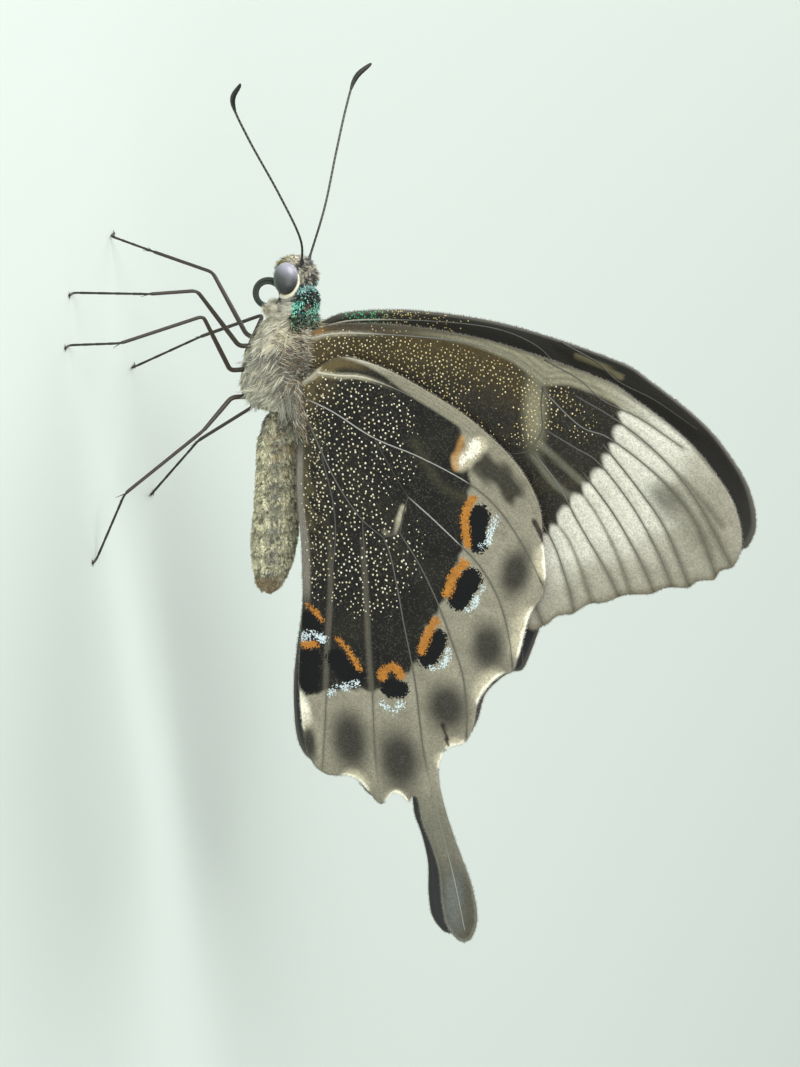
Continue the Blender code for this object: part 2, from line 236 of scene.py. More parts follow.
def nearest(points, routes, steps=5):
    """Distance from each point to the nearest of several smooth lines."""
    gaps = [np.abs(off(points, spline(route, steps))) for route in routes]
    return np.min(gaps, axis=0)


def ramp(value, low, high):
    """0 below low, 1 above high, and a smooth step between."""
    share = np.clip((value - low) / (high - low), 0.0, 1.0)
    return share * share * (3 - 2 * share)


def patch(points, centre, reach, turn=0.0, soft=1.0):
    """A soft round patch: 1 at its centre, 0 outside, for half lengths and a turn in degrees."""
    lean = np.radians(turn)
    gap = points - np.array(centre)
    long = gap[:, 0] * np.cos(lean) + gap[:, 1] * np.sin(lean)
    wide = gap[:, 1] * np.cos(lean) - gap[:, 0] * np.sin(lean)
    far = np.hypot(long / reach[0], wide / reach[1])
    return 1 - ramp(far, 1 - soft / 2, 1 + soft / 2)


def tone(red, green, blue):
    """A display colour of 0 to 255 as linear light."""
    share = np.array((red, green, blue)) / 255
    return np.where(share < 0.04045, share / 12.92, ((share + 0.055) / 1.055) ** 2.4)


def laid(ground, share, colour):
    """Lay a colour over the ground by a share for each point."""
    return ground + share[:, None] * (colour - ground)


def plain(count, *colour):
    """One display colour for so many points."""
    return np.tile(tone(*colour), (count, 1))


def layered(ground, *coats):
    """Lay display colours over the ground in turn. Each coat is a share for each point, then
    red, green and blue."""
    for share, *colour in coats:
        ground = laid(ground, share, tone(*colour))
    return ground


def wobble(points, scale, seed):
    """A slow random field of about -1 to 1: a sum of sine waves in seeded directions."""
    rng = np.random.default_rng(seed)
    total = np.zeros(len(points))
    for _ in range(7):
        way = rng.normal(size=points.shape[1]) / scale
        total += np.sin(points @ way * 2.2 + rng.uniform(0, 2 * np.pi))
    return total / 3.0


def wing_side(points, base):
    """How far to the side the middle of a wing lies: a lean, a shallow bow and a slow wave."""
    x, z = points.T
    share = np.clip((z - BOW_FROM) / (BOW_TO - BOW_FROM), 0.0, 1.0)
    wave = WAVE * np.sin(0.55 * x + 0.2 * z) * np.sin(0.35 * z - 0.15 * x)
    return base + LEAN * (z - LEAN_FROM) + BOW * np.sin(np.pi * share) + wave


def puffed(vein_gap):
    """How far the membrane stands out, by the distance to the nearest vein."""
    return PUFF * (1 - np.exp(-(vein_gap / PUFF_REACH) ** 2))


def set_wing(points, outward, side, base, swung):
    """Points of a wing drawn in side view, at a height above its middle, in the layout. A swung
    wing is turned down about its hinge and spread a little."""
    y = wing_side(points, base) + outward
    x, z = points.T
    if swung:
        lean = np.radians(SWING)
        behind = x - SWING_ABOUT[0]
        above = (z - SWING_ABOUT[1]) * SWING_SPREAD
        x = SWING_ABOUT[0] + SWING_SHIFT + behind * np.cos(lean) - above * np.sin(lean)
        z = SWING_ABOUT[1] + above * np.cos(lean) + behind * np.sin(lean)
    return np.column_stack((x, side * y, z))


def rim_of(corners):
    """The rim of a wing's membrane: evenly stepped points of a closed smooth line through the
    corners, drawn in by the depth of the fringe."""
    return drawn_in(even(spline(corners, OUTLINE_STEPS), AROUND + 1)[:-1], FRINGE)


def drawn_in(line, inset):
    """Move each point of a closed line towards the inside by the inset, square to the line."""
    along = np.roll(line, -2, axis=0) - np.roll(line, 2, axis=0)
    along /= np.linalg.norm(along, axis=1, keepdims=True)
    inward = np.column_stack((-along[:, 1], along[:, 0]))
    middle = line.mean(axis=0)
    if np.sum(inward * (middle - line)) < 0:
        inward = -inward
    return line + inset * inward


def bands(count, around):
    """The quads between so many rings of points, each ring joined to the next."""
    ring = np.arange(count - 1)[:, None] * around
    step = np.arange(around)
    after = (step + 1) % around
    quads = (ring + step, ring + after, ring + around + after, ring + around + step)
    return np.stack(quads, -1).reshape(-1, 4)


def membrane(name, outline, feet, fold, veins, paint, wing, looks):
    """A wing's closed sheet. Rings run from the feet to the rim on the outside, and back on the
    inside: each is the feet moved a share of the way to the outline. The feet are the hub, apart
    from those of the first and last points, up to fold, which lie two by two along the tail.
    The sheet puffs out between the veins and thins to its rim. paint gives colours and marks."""
    share = np.linspace(0.0, 1.0, RINGS + 1) ** 0.8
    behind = np.linspace(1.0, 0.0, BACK_RINGS + 1)[1:] ** 0.8
    shares = np.concatenate((share, (0.999,), behind))
    count = len(shares)
    points = (feet + shares[:, None, None] * (outline - feet)).reshape(-1, 2)
    face = np.repeat(np.where(np.arange(count) <= RINGS, 1.0, -1.0), AROUND)
    rim_gap = ((1 - shares)[:, None] * np.hypot(*(outline - feet).T)).ravel()
    vein_gap = nearest(points, veins)
    rise = puffed(vein_gap) * ramp(rim_gap, 0.0, 1.5)
    half = SHEET * (0.45 + 0.55 * ramp(rim_gap, 0.0, 0.7))
    place = set_wing(points, rise + face * half, *wing)
    quads = bands(count, AROUND)
    step = np.arange(AROUND)
    same = np.arange(count * AROUND)
    pair = np.minimum(np.minimum(step, AROUND - step), fold)
    same[:AROUND] = pair
    same[-AROUND:] = (count - 1) * AROUND + pair
    quads = same[quads]
    inner = np.repeat(np.arange(count - 1) > RINGS - 1, AROUND)
    folded = (quads[:, 0] == quads[:, 1]) | (quads[:, 2] == quads[:, 3])
    fans = np.where((quads[:, 0] == quads[:, 1])[:, None], quads[:, 1:], quads[:, :3])[folded]
    kept = np.concatenate((quads[~folded].ravel(), fans.ravel()))
    used, faces = np.unique(kept, return_inverse=True)
    split = 4 * np.sum(~folded)
    piece = mesh_object(name, place[used], faces[:split].reshape(-1, 4),
                        faces[split:].reshape(-1, 3))
    for look in looks:
        piece.data.materials.append(look)
    inside = np.concatenate((inner[~folded], inner[folded])).astype(np.int32)
    piece.data.polygons.foreach_set("material_index", inside)
    for mark, values in paint(points[used], face[used], rim_gap[used], vein_gap[used]).items():
        store(piece, mark, values)
    return piece


def mesh_object(name, points, quads, triangles):
    """An object from points of the layout and two lists of faces, turned outwards."""
    mesh = bpy.data.meshes.new(name)
    place = (points - ORIGIN) * MM
    triangles = np.array(triangles, int).reshape(-1, 3)
    quads = np.array(quads, int).reshape(-1, 4)
    if inside_out(place, quads, triangles):
        quads, triangles = quads[:, ::-1], triangles[:, ::-1]
    corners = np.concatenate((quads.ravel(), triangles.ravel()))
    sizes = np.concatenate((np.full(len(quads), 4), np.full(len(triangles), 3)))
    mesh.vertices.add(len(place))
    mesh.vertices.foreach_set("co", place.astype(np.float32).ravel())
    mesh.loops.add(len(corners))
    mesh.loops.foreach_set("vertex_index", corners.astype(np.int32))
    mesh.polygons.add(len(sizes))
    starts = np.concatenate(((0,), np.cumsum(sizes)[:-1]))
    mesh.polygons.foreach_set("loop_start", starts.astype(np.int32))
    mesh.update(calc_edges=True)
    mesh.shade_smooth()
    made = bpy.data.objects.new(name, mesh)
    bpy.context.collection.objects.link(made)
    return made


def inside_out(place, quads, triangles):
    """Whether the faces enclose a volume below zero."""
    fan = np.vstack((quads[:, (0, 1, 2)], quads[:, (0, 2, 3)], triangles))
    a, b, c = place[fan[:, 0]], place[fan[:, 1]], place[fan[:, 2]]
    return np.einsum("ij,ij->", a, np.cross(b, c)) < 0


def store(piece, name, values):
    """Keep a colour or a number for each vertex, under the name that a material reads."""
    values = np.asarray(values, np.float32)
    if values.ndim == 2:
        kept = piece.data.attributes.new(name, "FLOAT_COLOR", "POINT")
        opaque = np.ones((len(values), 1), np.float32)
        kept.data.foreach_set("color", np.hstack((values, opaque)).ravel())
    else:
        kept = piece.data.attributes.new(name, "FLOAT", "POINT")
        kept.data.foreach_set("value", values)


def node(tree, kind, settings=(), **inputs):
    """One shader node. Inputs are named with _ for a space, or s0, s1 ... by their number."""
    made = tree.nodes.new("ShaderNode" + kind)
    for key, value in dict(settings).items():
        setattr(made, key, value)
    for key, value in inputs.items():
        socket = made.inputs[int(key[1:]) if key[1:].isdigit() else key.replace("_", " ")]
        if isinstance(value, bpy.types.NodeSocket):
            tree.links.new(value, socket)
        else:
            socket.default_value = value
    return made


def sums(tree, operation, *values):
    """The result of one sum on two or three numbers or sockets."""
    inputs = {f"s{i}": value for i, value in enumerate(values)}
    return node(tree, "Math", {"operation": operation}, **inputs).outputs[0]


def over(tree, share, under, top):
    """A colour laid over another by a share. Colours are sockets or three numbers."""
    under, top = [c if isinstance(c, bpy.types.NodeSocket) else (*c, 1.0) for c in (under, top)]
    return node(tree, "Mix", {"data_type": "RGBA"}, s0=share, s6=under, s7=top).outputs[2]


def field(tree, name, colour=False):
    """The socket of a stored colour or number."""
    return node(tree, "Attribute", {"attribute_name": name}).outputs["Color" if colour else "Fac"]


def step_up(tree, value, low, high):
    """A smooth step from 0 at low to 1 at high."""
    return node(tree, "MapRange", {"interpolation_type": "SMOOTHSTEP"}, Value=value, From_Min=low,
                From_Max=high).outputs[0]


def scaled(tree, colour, gain):
    """A colour made lighter or darker by a gain."""
    return node(tree, "VectorMath", {"operation": "SCALE"}, Vector=colour, Scale=gain).outputs[0]


def bumped(tree, shader, height, strength, distance):
    """Give the shader a fine relief from a height."""
    bump = node(tree, "Bump", Height=height, Strength=strength, Distance=distance)
    tree.links.new(bump.outputs[0], shader.inputs["Normal"])


def shingle_group():
    """Fine scales, each a cell of a Voronoi pattern of the given pitch in mm: a shade for each
    scale, a ragged offset in mm for the edges of marks, a height, and which ones are lighter."""
    tree = bpy.data.node_groups.new("wing_scales", "ShaderNodeTree")
    face = tree.interface
    face.new_socket("Pitch", in_out="INPUT", socket_type="NodeSocketFloat")
    for name in ("Shade", "Ragged", "Height", "Pepper"):
        face.new_socket(name, in_out="OUTPUT", socket_type="NodeSocketFloat")
    given = tree.nodes.new("NodeGroupInput").outputs["Pitch"]
    place = node(tree, "TexCoord").outputs["Object"]
    rows = sums(tree, "DIVIDE", 1000.0, given)
    cell = node(tree, "TexVoronoi", Vector=place, Scale=rows, Randomness=0.9)
    split = node(tree, "SeparateColor", s0=cell.outputs["Color"])
    slow = node(tree, "TexNoise", Vector=place, Scale=900.0, Detail=4.0, Roughness=0.65)
    shade = sums(tree, "MULTIPLY_ADD", split.outputs[0], 0.6, 0.2)
    shade = sums(tree, "MULTIPLY_ADD", slow.outputs["Fac"], 0.8, sums(tree, "SUBTRACT", shade, 0.4))
    ragged = sums(tree, "MULTIPLY", sums(tree, "SUBTRACT", split.outputs[1], 0.5), 0.42)
    out = tree.nodes.new("NodeGroupOutput")
    tree.links.new(shade, out.inputs["Shade"])
    tree.links.new(ragged, out.inputs["Ragged"])
    tree.links.new(cell.outputs["Distance"], out.inputs["Height"])
    tree.links.new(sums(tree, "GREATER_THAN", split.outputs[2], 0.84), out.inputs["Pepper"])
    return tree


SCALES = shingle_group()
SCALE_PITCH = 0.11
MARKS = (("black", tone(16, 16, 18)), ("orange", tone(178, 118, 48)),
         ("white", tone(246, 240, 222)), ("blue", tone(206, 220, 224)))
PEPPER = tone(96, 94, 80)


def under_look(name, contrast):
    """Underside of a wing: the ground colour, shaded scale by scale, with some lighter scales,
    then the ragged-edged marks in turn, each where its stored distance in mm is above zero."""
    made, tree, shader = material(name, 0.75)
    scales = node(tree, "Group", {"node_tree": SCALES}, Pitch=SCALE_PITCH)
    shade = sums(tree, "SUBTRACT", scales.outputs["Shade"], 0.5)
    gain = sums(tree, "MULTIPLY_ADD", shade, contrast, 1.0)
    colour = scaled(tree, field(tree, "ground", True), gain)
    colour = over(tree, sums(tree, "MULTIPLY", scales.outputs["Pepper"], 0.28), colour, PEPPER)
    for mark, paint in MARKS:
        flecks = 1.6 if mark == "blue" else 1.0
        ragged = sums(tree, "MULTIPLY_ADD", scales.outputs["Ragged"], flecks, field(tree, mark))
        share = step_up(tree, ragged, -0.05, 0.05)
        gain = sums(tree, "MULTIPLY_ADD", scales.outputs["Shade"], 0.7, 0.6)
        colour = over(tree, share, colour, scaled(tree, tuple(paint), gain))
    tree.links.new(colour, shader.inputs["Base Color"])
    bumped(tree, shader, scales.outputs["Height"], 0.4, 0.00004)
    shader.inputs["Sheen Weight"].default_value = 0.03
    shader.inputs["Specular IOR Level"].default_value = 0.2
    return made


def upper_look():
    """Upper side: black scales with fine emerald ones strewn among them, solid in the band, some
    of them pale gold near the front edge."""
    made, tree, shader = material("wing_upper", 0.5)
    place = node(tree, "TexCoord").outputs["Object"]
    cell = node(tree, "TexVoronoi", Vector=place, Scale=6200.0, Randomness=1.0)
    split = node(tree, "SeparateColor", s0=cell.outputs["Color"])
    strewn = sums(tree, "GREATER_THAN", field(tree, "green"), split.outputs[0])
    core = sums(tree, "LESS_THAN", cell.outputs["Distance"], 0.4)
    solid = sums(tree, "GREATER_THAN", field(tree, "green"), 0.93)
    share = sums(tree, "MULTIPLY", strewn, sums(tree, "MAXIMUM", core, solid))
    emerald = over(tree, split.outputs[1], tone(18, 120, 84), tone(96, 214, 150))
    emerald = over(tree, field(tree, "gold"), emerald, tone(214, 196, 130))
    colour = over(tree, share, field(tree, "ground", True), emerald)
    tree.links.new(colour, shader.inputs["Base Color"])
    bumped(tree, shader, cell.outputs["Distance"], 0.3, 0.00005)
    return made


FORE_PALE_EDGE = ((14.0, 41.6), (12.4, 44.0), (10.3, 46.4), (8.3, 47.7), (6.5, 47.3), (5.2, 46.6),
                  (3.7, 45.8), (2.5, 44.7), (1.2, 43.7), (0.4, 42.5), (-0.6, 41.6), (-2.2, 40.1),
                  (-4.2, 37.5), (-9.0, 33.0))
FORE_DIM_EDGE = ((6.4, 56.0), (3.4, 53.6), (1.6, 50.9), (-1.2, 50.2), (-2.8, 50.2), (-4.6, 48.2),
                 (-4.9, 46.0), (-5.3, 43.6), (-6.5, 40.3), (-8.0, 37.0))
FORE_GREY_EDGE = ((17.2, 19.8), (16.7, 23.5), (16.3, 27.4), (15.8, 31.2), (15.1, 34.4),
                  (14.2, 36.7), (13.0, 38.9), (10.9, 41.4), (10.7, 43.6), (9.4, 46.6), (7.5, 49.5))
FORE_BAND = ((12.5, 45.5), (5.0, 42.5), (-2.0, 36.0), (-7.0, 33.0))
FORE_STREAK = ((11.9, 43.1), (10.8, 45.3), (9.6, 47.0))
CELL_RAYS = (((5.5, 40.5), (3.9, 42.0), (1.9, 43.8)), ((4.5, 39.8), (2.2, 41.1), (0.6, 42.6)))


def paint_fore(points, face, rim_gap, vein_gap):
    """Markings of a fore wing. Underside: dark brown with a streaked grey strip along the front
    edge, a grey patch in the end of the cell, and the pale field beyond the dark patch, rounded
    in each cell, darker beyond its dim edge, along the veins and folds, and in one smudge. Upper
    side: black dusted with emerald and gold, with its band."""
    x, z = points.T
    slow = wobble(points, 3.0, 3)
    line_gap = np.minimum(vein_gap, 0.75)
    pale_gap = -off(points, spline(FORE_PALE_EDGE, 4)) - 0.65 * (1 - line_gap / 0.75) ** 2
    pale_gap = pale_gap + 0.12 * slow
    dim_gap = -off(points, spline(FORE_DIM_EDGE, 4)) + 0.5 * slow
    front_gap = off(points, spline(FORE_GREY_EDGE, 4))
    rays = nearest(points, CELL_RAYS)
    ground = layered(
        plain(len(points), 38, 36, 30),
        (0.8 * ramp(front_gap, 5.0, 0.3) * (1 - ramp(z, 38.0, 42.0)), 72, 60, 34),
        (0.5 * ramp(slow, -0.2, 1.0), 52, 46, 34),
        (0.8 * ramp(25.0 - z, 0.0, 5.0) * ramp(x, 11.0, 14.5), 78, 66, 44),
        (0.7 * patch(points, (17.0, 20.9), (0.3, 1.0), 0.0, 1.6), 150, 108, 60),
        (0.9 * patch(points, (8.6, 40.4), (3.2, 0.95), 8.0, 1.5), 131, 127, 104),
        (0.7 * (1 - ramp(rays, 0.1, 0.55)), 112, 110, 94),
        (ramp(pale_gap, -0.2, 0.45), 208, 205, 191),
        (0.9 * ramp(dim_gap, -1.4, 2.2) * ramp(pale_gap, 0.0, 1.0), 156, 152, 136),
        (0.5 * ramp(dim_gap, 1.6, 5.0), 136, 131, 114),
        (0.8 * patch(points, (-0.1, 51.5), (1.6, 1.15), 128.0, 1.5), 92, 92, 80),
        (0.5 * patch(points, (-3.4, 53.9), (3.0, 1.2), 140.0, 1.5), 104, 102, 88))
    strip = ramp(-front_gap, -0.1, 0.25) * ramp(z, 20.0, 24.0)
    strip = 0.9 * strip * (1 - ramp(z, 47.0, 53.0))
    streak = 0.5 + 0.5 * np.sin(front_gap * 2 * np.pi / 0.55)
    grey = layered(plain(len(points), 72, 65, 52), (ramp(z, 27.0, 38.0), 138, 134, 112))
    ground = (1 - strip[:, None]) * ground + (strip * (0.8 + 0.35 * streak))[:, None] * grey
    first = (1 - ramp(nearest(points, FORE_VEINS[:1]), 0.12, 0.34)) * (1 - ramp(z, 22.5, 28.0))
    wide = 0.17 + 0.2 * ramp(dim_gap, -2.5, 4.0)
    front_rim = 0.6 * (1 - ramp(rim_gap, 0.05, 0.4)) * ramp(z, 24.0, 30.0) * ramp(x, 0.0, 3.0)
    ground = layered(
        ground,
        (0.75 * first * ribbed(z), 176, 170, 148),
        (ramp(pale_gap, -0.1, 0.5) * 0.7 * np.exp(-(vein_gap / wide) ** 2), 88, 83, 70),
        (0.5 * (1 - ramp(rim_gap, 0.1, 0.7)) * ramp(-x, 4.5, 7.5), 96, 84, 62),
        (front_rim, 62, 58, 48))
    gold_line = np.abs(off(points, spline(FORE_STREAK, 4)))
    upper = layered(
        plain(len(points), 44, 42, 37),
        (0.45 * (1 - ramp(gold_line, 0.1, 0.35)), 170, 160, 118),
        (0.8 * (1 - ramp(rim_gap, 0.02, 0.12)), 96, 92, 80))
    band = np.abs(off(points, spline(FORE_BAND, 4)))
    front = ramp(x + 0.35 * (z - 30.0), 13.0, 15.0)
    green = (0.36 * ramp(rim_gap, 3.0, 9.0) + 0.75 * (1 - ramp(band, 1.0, 2.4))) * (1 - front)
    low_green = 0.5 * ramp(z, 20.5, 23.0) * (1 - ramp(z, 25.0, 29.5))
    green = green + front * (low_green + 0.22 * (1 - ramp(z, 30.0, 34.5)))
    inside = face < 0
    unmarked = dict.fromkeys(("orange", "black", "white", "blue"), np.full(len(points), -1.0))
    return {"ground": np.where(inside[:, None], upper, ground),
            "green": np.where(inside, green, 0.0), "gold": front * ramp(z, 24.5, 27.5), **unmarked}


def ribbed(z):
    """The fine ribs of a wing's first vein."""
    return 0.8 + 0.2 * np.sin(z * 2 * np.pi / 0.19)


fore_under = under_look("fore_wing_underside", 0.55)
wing_upper = upper_look()
margin = scalloped(FORE_VEIN_TIPS, FORE_HUB, FORE_SCALLOP)
fore_rim = rim_of((*FORE_COSTA, *margin, *FORE_HIND_EDGE, FORE_COSTA[0]))
feet = np.tile(FORE_HUB, (AROUND, 1))
for place, side in SIDES:
    piece = membrane(f"fore_wing_{place}", fore_rim, feet, 0, (*FORE_VEINS, *FORE_FOLDS),
                     paint_fore, (side, FORE_Y, False), (fore_under, wing_upper))
    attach(piece, "root")
    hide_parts(f"forewing_{place}")


# ---- Hind wings -----------------------------------------------------------------------------
# A hind wing lies outside the fore wing and carries a long tail on its fourth vein. Its root is
# black dusted with cream, then comes a row of eyespots, orange, black and blue, then a grey
# field with a dark smudge in each cell, and cream rims in the hollows of the margin.
HIND_COSTA = ((12.6, 18.9), (14.3, 21.4), (14.9, 23.6), (13.7, 27.1), (11.5, 30.7), (8.6, 34.6),
              (5.1, 37.8), (2.4, 39.4), (-0.3, 40.2), (-3.2, 40.1), (-6.0, 40.0))
HIND_MARGIN = ((-8.3, 39.5), (-10.2, 38.0), (-13.7, 36.6), (-15.4, 35.7), (-15.8, 34.4),
               (-17.7, 32.4), (-20.3, 31.5), (-21.9, 30.4), (-22.3, 29.0))
HIND_LOBES = ((-27.4, 24.2), (-27.5, 21.4), (-24.4, 16.5))
HIND_INNER_EDGE = ((-22.6, 15.1), (-19.0, 14.8), (-14.8, 15.1), (-8.0, 16.3), (-2.5, 16.9),
                   (1.0, 17.0), (4.0, 17.3), (9.5, 18.2))
HIND_SCALLOP = 1.0
TAIL_ROOT = ((-22.8, 28.3), (-26.8, 24.9))
TAIL_UPPER = ((-24.6, 27.6), (-27.5, 27.8), (-31.1, 28.5), (-35.4, 29.5), (-38.6, 29.6),
              (-40.5, 28.8))
TAIL_LOWER = ((-29.2, 25.1), (-31.4, 25.7), (-34.0, 26.1), (-36.7, 26.0), (-39.1, 26.2),
              (-40.6, 27.1))
TAIL_TIP = (-41.0, 27.9)
HIND_HUB = (-5.0, 27.0)
HIND_Y = FORE_Y + 0.85
HIND_VEINS = (
    ((11.1, 19.2), (9.7, 21.7), (7.1, 25.3), (5.1, 29.4), (2.4, 33.7), (-0.2, 36.2), (-3.6, 38.0),
     (-7.9, 39.6)),
    ((1.5, 27.8), (-1.0, 30.2), (-4.2, 33.0), (-5.9, 34.1), (-8.0, 35.0), (-10.2, 35.5),
     (-12.9, 35.7), (-15.4, 35.6)),
    ((1.5, 27.8), (-0.2, 27.1), (-1.8, 26.6), (-2.0, 25.8), (-2.2, 25.0)),
    ((9.0, 19.2), (3.4, 21.1), (-0.2, 23.0), (-2.2, 25.0)),
    ((-1.8, 26.6), (-4.9, 28.1), (-8.7, 29.4), (-12.4, 30.3), (-15.6, 30.9), (-19.4, 30.8),
     (-21.8, 30.4)),
    ((-2.2, 25.0), (-4.3, 25.5), (-10.0, 25.9), (-15.7, 26.3), (-22.8, 26.3), (-29.0, 27.0),
     (-34.8, 27.7), (-39.6, 28.1)),
    ((-0.3, 23.2), (-5.2, 22.9), (-11.7, 22.5), (-20.3, 21.8), (-27.1, 21.4)),
    ((5.7, 20.1), (1.5, 20.6), (-2.2, 20.4), (-7.8, 19.1), (-17.2, 17.6), (-24.2, 16.3)),
    ((14.5, 21.0), (13.4, 20.7), (12.5, 19.2)),
    ((13.4, 20.7), (13.0, 22.8), (12.8, 24.7), (12.0, 26.9), (10.7, 29.4)),
    ((7.1, 25.3), (3.6, 26.8), (1.5, 27.8)),
)
EYESPOTS = (   # for each: orange bar, black heart, blue arc
    (((1.0, 33.9), (-0.3, 33.0), (-1.8, 32.8), (-3.2, 32.9)),
     ((-0.5, 34.3), (-1.6, 33.9), (-3.0, 33.8)),
     ((-1.0, 35.7), (-2.1, 35.2), (-2.9, 34.8), (-3.4, 34.0))),
    (((-4.9, 32.3), (-6.1, 31.2), (-7.6, 30.4)), ((-6.4, 32.7), (-7.3, 32.0), (-8.2, 31.4)),
     ((-7.2, 33.9), (-7.9, 33.4), (-8.7, 32.9), (-9.3, 32.1))),
    (((-10.2, 29.0), (-11.4, 28.1), (-12.9, 27.3)), ((-11.9, 28.8), (-12.8, 28.3), (-13.5, 27.8)),
     ((-13.1, 29.9), (-14.1, 29.4), (-14.5, 28.2))),
    (((-15.2, 23.2), (-14.5, 23.8), (-14.4, 24.5), (-15.1, 25.1)),
     ((-16.3, 23.9), (-16.4, 24.4), (-16.4, 24.7)), ((-17.8, 22.9), (-18.3, 23.9), (-17.7, 25.1))),
    (((-11.6, 19.5), (-12.6, 20.3), (-14.3, 21.1)), ((-13.4, 19.1), (-14.6, 19.8), (-15.0, 20.7)),
     ((-16.5, 18.3), (-15.9, 19.0), (-16.0, 20.0), (-15.7, 20.9))),
    (((-8.2, 17.0), (-8.8, 17.6), (-9.7, 18.1)), ((-9.6, 16.8), (-10.3, 17.4)),
     ((-11.0, 16.0), (-11.0, 17.1), (-11.4, 18.1))),
    (((-11.7, 15.9), (-11.9, 16.6), (-11.9, 17.2)), ((-13.1, 16.6), (-15.6, 16.2)), ()),
)
EYESPOT_WIDTHS = (   # half widths of bar, heart and arc
    (0.42, 1.0, 0.12), (0.5, 1.1, 0.12), (0.44, 1.05, 0.12), (0.5, 0.92, 0.16), (0.3, 0.95, 0.16),
    (0.2, 0.8, 0.28), (0.4, 0.95, 0.0))
GREY_EDGE = ((9.8, 31.3), (7.9, 33.0), (6.3, 33.4), (3.6, 33.6), (1.6, 33.3), (-1.0, 33.0),
             (-4.1, 31.6), (-6.5, 31.1), (-8.3, 29.7), (-10.5, 27.9), (-13.3, 26.6), (-15.4, 24.6),
             (-16.2, 22.6), (-15.9, 20.4), (-16.1, 17.6), (-16.7, 14.6))
STRIP_EDGE = ((14.6, 23.4), (13.8, 25.3), (12.7, 27.0), (11.5, 28.3), (10.5, 29.6), (9.3, 31.3),
              (8.2, 32.8), (6.9, 34.3), (5.4, 36.0), (3.3, 37.6), (1.1, 38.8), (-1.6, 39.6))
SMUDGES = (   # for each: middle, reaches and turn in degrees
    ((-6.0, 37.0), (2.3, 1.35), 20), ((-12.8, 33.6), (2.2, 1.5), 10),
    ((-18.3, 29.0), (2.2, 1.9), 0), ((-23.1, 23.9), (2.9, 1.9), 0),
    ((-21.1, 19.4), (2.8, 1.75), 0), ((-21.2, 15.5), (1.6, 0.6), 0), ((-25.6, 18.4), (0.6, 1.3), 0))
FRONT_LOBE = ((6.6, 29.0), (2.5, 31.0), (0.8, 34.0))
DARK_EYE = ((4.7, 34.7), (3.8, 35.6), (2.7, 36.8), (1.6, 37.6))
WHITE_EYE = ((6.0, 35.0), (5.2, 34.2), (4.4, 33.2))
WHITE_LEFT = ((6.7, 33.6), (5.7, 33.1), (4.6, 32.6), (3.9, 32.6))
DUSKY_VEINS = (((-1.0, 20.1), (-7.1, 19.3), (-11.9, 18.4), (-16.8, 17.6), (-21.7, 16.8)),
               ((-2.3, 23.0), (-7.2, 22.7), (-12.0, 22.3), (-16.9, 22.0)))
CELL_FLECKS = ((0.5, 27.2), (-0.9, 26.5), (-1.6, 26.0), (-1.7, 25.2))
# Painted shadow: two dark slits in the rim, where the wing is notched and the shade behind shows.
SLIT_SHADOWS = ((((-1.3, 39.3), (-2.1, 39.6), (-3.2, 39.95)), 0.28),
         (((-19.9, 28.4), (-20.8, 28.6), (-21.9, 28.7)), 0.2))      # routes and reaches
CREAM_HOLLOWS = (((-5.2, 40.1), 1.6), ((-11.7, 37.3), 2.4), ((-16.7, 33.3), 1.9),
                 ((-22.1, 29.4), 1.0), ((-23.4, 27.9), 0.8), ((-27.0, 23.1), 1.1),
                 ((-25.2, 19.3), 1.4), ((-18.4, 14.9), 1.5))        # middles and reaches
HIND_BAND = ((11.0, 31.0), (3.0, 27.0), (-4.0, 21.0), (-6.0, 16.0))
SPINE = ((-39.6, 27.9), (-35.0, 27.75), (-31.1, 27.05), (-28.3, 26.4), (-24.0, 26.3), HIND_HUB)
TAIL_RUN, FAN_RUN = 14.0, 16.0   # lengths of rim whose feet follow the tail, and then fan out


def hind_feet(outline):
    """The inner ends of the rays to a hind wing's rim, and how many of them lie along the tail:
    a foot moves up the tail with its rim point, then faster to the hub, where the rest are."""
    run = np.sum(np.hypot(*np.diff(outline, axis=0).T)) / (AROUND - 1)
    at = np.minimum(np.arange(AROUND), AROUND - np.arange(AROUND)) * run
    start = SPINE[0][0]
    x = start + at + (HIND_HUB[0] - start - at) * ramp(at, TAIL_RUN, TAIL_RUN + FAN_RUN)
    line = spline(SPINE, 8)
    feet = np.column_stack((x, np.interp(x, line[:, 0], line[:, 1])))
    return feet, int((TAIL_RUN + FAN_RUN) / run) + 1


def marked(points, routes, reaches):
    """How deep each point lies inside a mark: its half width less the distance to its route."""
    deep = np.full(len(points), -2.0)
    for route, reach in zip(routes, reaches):
        if route:
            deep = np.maximum(deep, reach - np.abs(off(points, spline(route, 6))))
    return deep


def from_hollows(points):
    """The distance to the nearest cream hollow of the rim, as a share of its reach."""
    return np.min([np.hypot(*(points - middle).T) / reach for middle, reach in CREAM_HOLLOWS],
                  axis=0)


